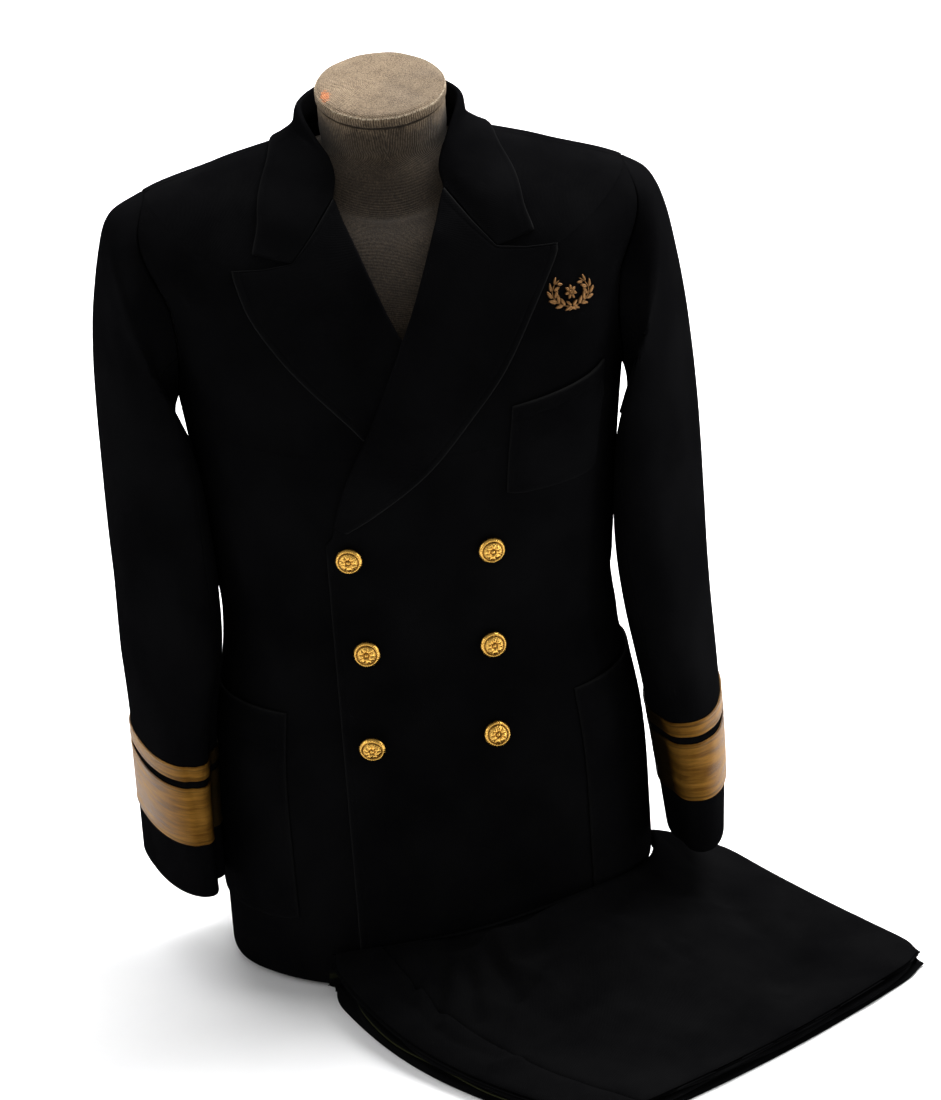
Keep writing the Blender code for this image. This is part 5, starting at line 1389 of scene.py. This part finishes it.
def line_distance(point, line):
    """Distance of points from a bent line, the side they are on, and the share of the way along it."""
    best = np.full(point.shape[:-1], 1e9)
    sign, share = np.zeros(best.shape), np.zeros(best.shape)
    count = len(line) - 1
    for k in range(count):
        start, run = np.array(line[k]), np.array(line[k + 1]) - np.array(line[k])
        along = np.clip(((point - start) @ run) / (run @ run), 0.0, 1.0)
        off = point - start - along[..., None] * run
        distance = np.linalg.norm(off, axis=-1)
        nearer = distance < best
        cross = run[0] * off[..., 1] - run[1] * off[..., 0]
        best = np.where(nearer, distance, best)
        sign = np.where(nearer, np.sign(cross), sign)
        share = np.where(nearer, (k + along) / count, share)
    return best, sign, share


def stack_height(share, across, point):
    """Height of the stack's top, bunched up against the jacket and creased."""
    places, near, far = zip(*STACK_HEIGHTS)
    near = spline(near, np.interp(share, places, range(len(places))))
    far = spline(far, np.interp(share, places, range(len(places))))
    height = near + (far - near) * across**STACK_RISE
    rise_across, rise_along = CREASE_RISE
    inside = np.minimum(1.0, rise_across * np.minimum(across, 1 - across))
    inside = np.minimum(inside, rise_along * np.minimum(share, 1 - share))
    for crease in TROUSER_CREASES:
        distance, sign, part = line_distance(point, crease["points"])
        ridge = np.exp(-((distance / crease["half_width"]) ** 2))
        step = (0.5 + 0.5 * np.tanh(sign * distance / crease["half_width"] * 2)) * np.exp(-distance / 0.035)
        shape = (1 - crease["step"]) * ridge + crease["step"] * step
        height = height + inside * crease["height"] * shape * np.sin(np.pi * np.clip(part, 0.04, 0.96)) ** 0.5
    ripple = 0.0005 * np.sin(point[..., 0] * 95 + 2 * np.sin(point[..., 1] * 40))
    ripple = ripple * np.sin(point[..., 1] * 70 + 1)
    return height + inside * ripple


# Where one folded layer ends and the next starts, as shares of the stack's height, and how far that wanders.
LAYER_SPLITS = (0.0, 0.34, 0.70, 1.0)
SPLIT_WANDER = 0.055
LAYER_LEVELS = 11
TOP_LIFT = 0.0012
OPENING_DEPTH = 0.016
# The top layers thin out over their rounded edges: the least thickness, and how far in they reach their own.
LAYER_THIN = 0.0003
LAYER_ROUND = 0.0035


def trouser_pieces():
    """The folded legs with their layered edges, the waistband and the top layer of the legs."""
    along, over = (stations(length, 0.0030) for length in STACK_SIDES)
    share, across = np.meshgrid(along, over, indexing="ij")
    flat = stack_points(share, across)
    height = stack_height(share, across, flat)
    top = np.concatenate((flat, height[..., None]), -1)
    stack_core(top, share, across)
    for name, low, high in (("trousers_waistband", 0.007, 0.109), ("trousers_front", 0.1102, 0.993)):
        rows = np.concatenate(([low], along[(along > low + 0.002) & (along < high - 0.002)], [high]))
        columns = np.concatenate(([0.007], over[(over > 0.010) & (over < 0.990)], [0.993]))
        share, across = np.meshgrid(rows, columns, indexing="ij")
        flat = stack_points(share, across)
        base = stack_height(share, across, flat)
        from_end = STACK_SIDES[0] * np.minimum(share - rows[0], rows[-1] - share)
        from_side = STACK_SIDES[1] * np.minimum(across - columns[0], columns[-1] - across)
        lift = TOP_LIFT + LAYER_THIN + CLOTH * (1 - np.exp(-np.minimum(from_end, from_side) / LAYER_ROUND))
        if name == "trousers_waistband":
            for seam in (0.034, 0.096):
                lift = lift - GROOVE_DEPTH * np.exp(-(((share - seam) / 0.0025) ** 2))
            lift = lift + 0.0006
        outer = np.concatenate((flat, (base + lift)[..., None]), -1)
        inner = np.concatenate((flat, (base + TOP_LIFT - 0.0002)[..., None]), -1)
        wall(name, outer, inner, "trouser_wool", tints=0 * base)


def split_at(number, run):
    """Where a layer of the stack ends, along its edge: the floor and the top stay where they are."""
    inner = 0 < number < len(LAYER_SPLITS) - 1
    wander = SPLIT_WANDER * np.sin(run * 9 + number * 2.6) + 0.4 * SPLIT_WANDER * np.sin(run * 27 + number)
    return LAYER_SPLITS[number] + inner * wander


def stack_core(top, share, across):
    """The folded layers: rounded edges one over another, and the lining between them at the waist."""
    rows, columns = top.shape[:2]
    r, c = np.array(rim_of(rows, columns)).T
    edge = top[r, c]
    chord = np.roll(edge[:, :2], -1, 0) - np.roll(edge[:, :2], 1, 0)
    way = np.stack((chord[:, 1], -chord[:, 0]), 1)
    way /= np.linalg.norm(way, axis=1, keepdims=True)
    count = len(r)
    run = np.concatenate(((0.0,), np.cumsum(np.linalg.norm(np.diff(edge[:, :2], axis=0), axis=1))))
    points, tints = [top.reshape(-1, 3)], [np.zeros(rows * columns)]
    waist = 1.0 - fade(share[r, c], 0.0, 0.06)
    opening = fade(share[r, c], 0.05, 0.0) * np.exp(-(((across[r, c] - 0.93) / 0.10) ** 2))
    levels = []
    for layer in range(len(LAYER_SPLITS) - 2, -1, -1):
        wander = 0.0022 * np.sin(run * 21 + layer * 2.1) + 0.0014 * np.sin(run * 53 + layer * 4.0) - 0.0012
        low, high = (split_at(number, run) for number in (layer, layer + 1))
        for part in np.linspace(1.0, 0.0, LAYER_LEVELS):
            round_edge = 0.0034 * (1 - math.sqrt(max(0.0, 1 - (2 * part - 1) ** 2)))
            level = low + (high - low) * part
            hollow = OPENING_DEPTH * opening * np.clip(1 - ((level - 0.48) / 0.34) ** 2, 0.0, 1.0)
            out = wander - round_edge - 0.0005 - hollow
            if layer == 0:
                out = np.where(part < 0.5, -round_edge * 0.5, out)
            levels.append(np.column_stack((edge[:, :2] + out[:, None] * way, level * edge[:, 2])))
            tints.append(waist * (1 - opening) * (0.9 if layer == 1 and 0.35 < part < 0.62 else 0.0))
    points += levels
    points = np.concatenate(points)
    i, j = cells_of(rows - 1, columns - 1)
    a = i * columns + j
    faces = [np.stack((a, a + 1, a + 1 + columns, a + columns), 1)]
    corners = [corners_of(flat_map(top, False), i, j)]
    above = r * columns + c
    k = np.arange(count)
    after = (k + 1) % count
    here = np.stack((run, 0 * run), 1)
    for number in range(len(levels)):
        level = rows * columns + number * count + k
        faces.append(np.stack((above, above[after], level[after], level), 1))
        drop = np.array((0.0, 0.0005 * number))
        corners.append(np.stack((here + drop, here[after] + drop, here[after] + drop, here + drop), 1))
        above = level
    middle = len(points)
    points = np.concatenate((points, [[*points[above][:, :2].mean(0), 0.0]]))
    closing = np.stack((above, above[after], np.full(count, middle)), 1)
    made = piece(
        "trousers_folded_legs", points, np.concatenate(faces), "trouser_wool", np.concatenate(corners),
        np.concatenate((*tints, [0.0])),
    )
    add_faces(made.data, closing)


def build():
    """Every piece of the object."""
    first, last = SLEEVE_SEAM_TURNS
    for side, word in ((1, "left"), (-1, "right")):
        front_panel(side, f"{word}_front")
        back_panel(side, f"{word}_back")
        lapel_piece(side, f"{word}_lapel")
        sleeve_piece(side, f"{word}_top_sleeve", -first, first)
        sleeve_piece(side, f"{word}_under_sleeve", first, last)
        for stripe in LACE:
            lace_piece(side, f"{word}_{stripe['size']}_lace", stripe["above"], stripe["width"])
    collar_piece("collar")
    for shape in POCKETS:
        pocket_piece(shape)
    for shape in BUTTONS:
        button_piece(shape)
    badge_piece()
    form_pieces()
    trouser_pieces()


build()


# Floor, light and camera
WORLD_STRENGTH = 0.34
LIGHTS = (
    ("top", (1.3, 0.9, 2.5), (0.05, 0.0, 0.0), (1.5, 1.5), 140.0),
    ("right", (2.6, -0.6, 1.3), (0.1, 0.0, 0.3), (1.0, 1.4), 20.0),
    ("left", (-2.6, -0.9, 1.3), (-0.1, 0.0, 0.3), (1.0, 1.4), 12.0),
    ("backdrop", (0.0, 0.9, 3.3), (0.0, 3.3, 0.8), (5.0, 0.8), 260.0),
    ("front", (-0.8, -3.4, 2.6), (0.0, 0.0, 0.3), (1.0, 1.0), 16.0),
)
CAMERA_AIM = (0.048, 0.0, 0.335)
CAMERA_DISTANCE = 3.5
CAMERA_AZIMUTH = math.radians(-2.5)
CAMERA_ELEVATION = math.radians(20.0)
CAMERA_ROLL = math.radians(-4.2)
CAMERA_FOCAL = 4118.0
PHOTO_HEIGHT = 1100.0
SENSOR = 36.0


def stage_set():
    """A plain pale floor that runs up into a pale backdrop, and soft studio light."""
    finish, tree, shader = new_finish("pale_surface", Roughness=0.6)
    place = node(tree, "ShaderNodeTexCoord").outputs["Object"]
    tone = ramp(tree, noise(tree, place, 6.0), (0.3, (0.86, 0.86, 0.87)), (0.7, (0.90, 0.90, 0.90)))
    tree.links.new(tone, shader.inputs["Base Color"])
    profile = [(-6.0, 0.0), (2.2, 0.0)]
    profile += [(2.2 + 1.2 * math.sin(t), 1.2 - 1.2 * math.cos(t)) for t in np.linspace(0.1, math.pi / 2, 12)]
    profile += [(3.4, 6.0)]
    points = [(x, y, z) for y, z in profile for x in (-8.0, 8.0)]
    faces = [(2 * k, 2 * k + 1, 2 * k + 3, 2 * k + 2) for k in range(len(profile) - 1)]
    mesh = bpy.data.meshes.new("floor")
    mesh.from_pydata(points, [], faces)
    mesh.shade_smooth()
    mesh.materials.append(finish)
    floor = bpy.data.objects.new("floor", mesh)
    bpy.context.scene.collection.objects.link(floor)
    world = bpy.data.worlds.new("studio")
    bpy.context.scene.world = world
    world.use_nodes = True
    world.node_tree.nodes["Background"].inputs["Color"].default_value = (1.0, 1.0, 1.0, 1.0)
    world.node_tree.nodes["Background"].inputs["Strength"].default_value = WORLD_STRENGTH
    for name, place, aim, size, energy in LIGHTS:
        lamp = bpy.data.lights.new(name, "AREA")
        lamp.shape = "RECTANGLE"
        lamp.size, lamp.size_y = size
        lamp.energy = energy
        made = bpy.data.objects.new(name, lamp)
        made.location = place
        made.rotation_mode = "QUATERNION"
        made.rotation_quaternion = (Vector(aim) - Vector(place)).to_track_quat("-Z", "Y")
        bpy.context.scene.collection.objects.link(made)


def camera_set():
    """The camera at the photograph's angle."""
    lens = bpy.data.cameras.new("camera")
    lens.sensor_width = SENSOR
    lens.lens = CAMERA_FOCAL * SENSOR / PHOTO_HEIGHT
    lens.clip_start, lens.clip_end = 0.1, 40.0
    made = bpy.data.objects.new("camera", lens)
    level = math.cos(CAMERA_ELEVATION)
    x, y = math.sin(CAMERA_AZIMUTH) * level, -math.cos(CAMERA_AZIMUTH) * level
    back = Vector((x, y, math.sin(CAMERA_ELEVATION)))
    right = (-back).cross(Vector((0.0, 0.0, 1.0))).normalized()
    up = right.cross(-back)
    side = right * math.cos(CAMERA_ROLL) + up * math.sin(CAMERA_ROLL)
    top = up * math.cos(CAMERA_ROLL) - right * math.sin(CAMERA_ROLL)
    turn = Matrix((side, top, back)).transposed().to_4x4()
    made.matrix_world = Matrix.Translation(Vector(CAMERA_AIM) + CAMERA_DISTANCE * back) @ turn
    bpy.context.scene.collection.objects.link(made)
    bpy.context.scene.camera = made


stage_set()
camera_set()
bpy.context.scene.view_settings.view_transform = "Standard"
bpy.context.view_layer.update()
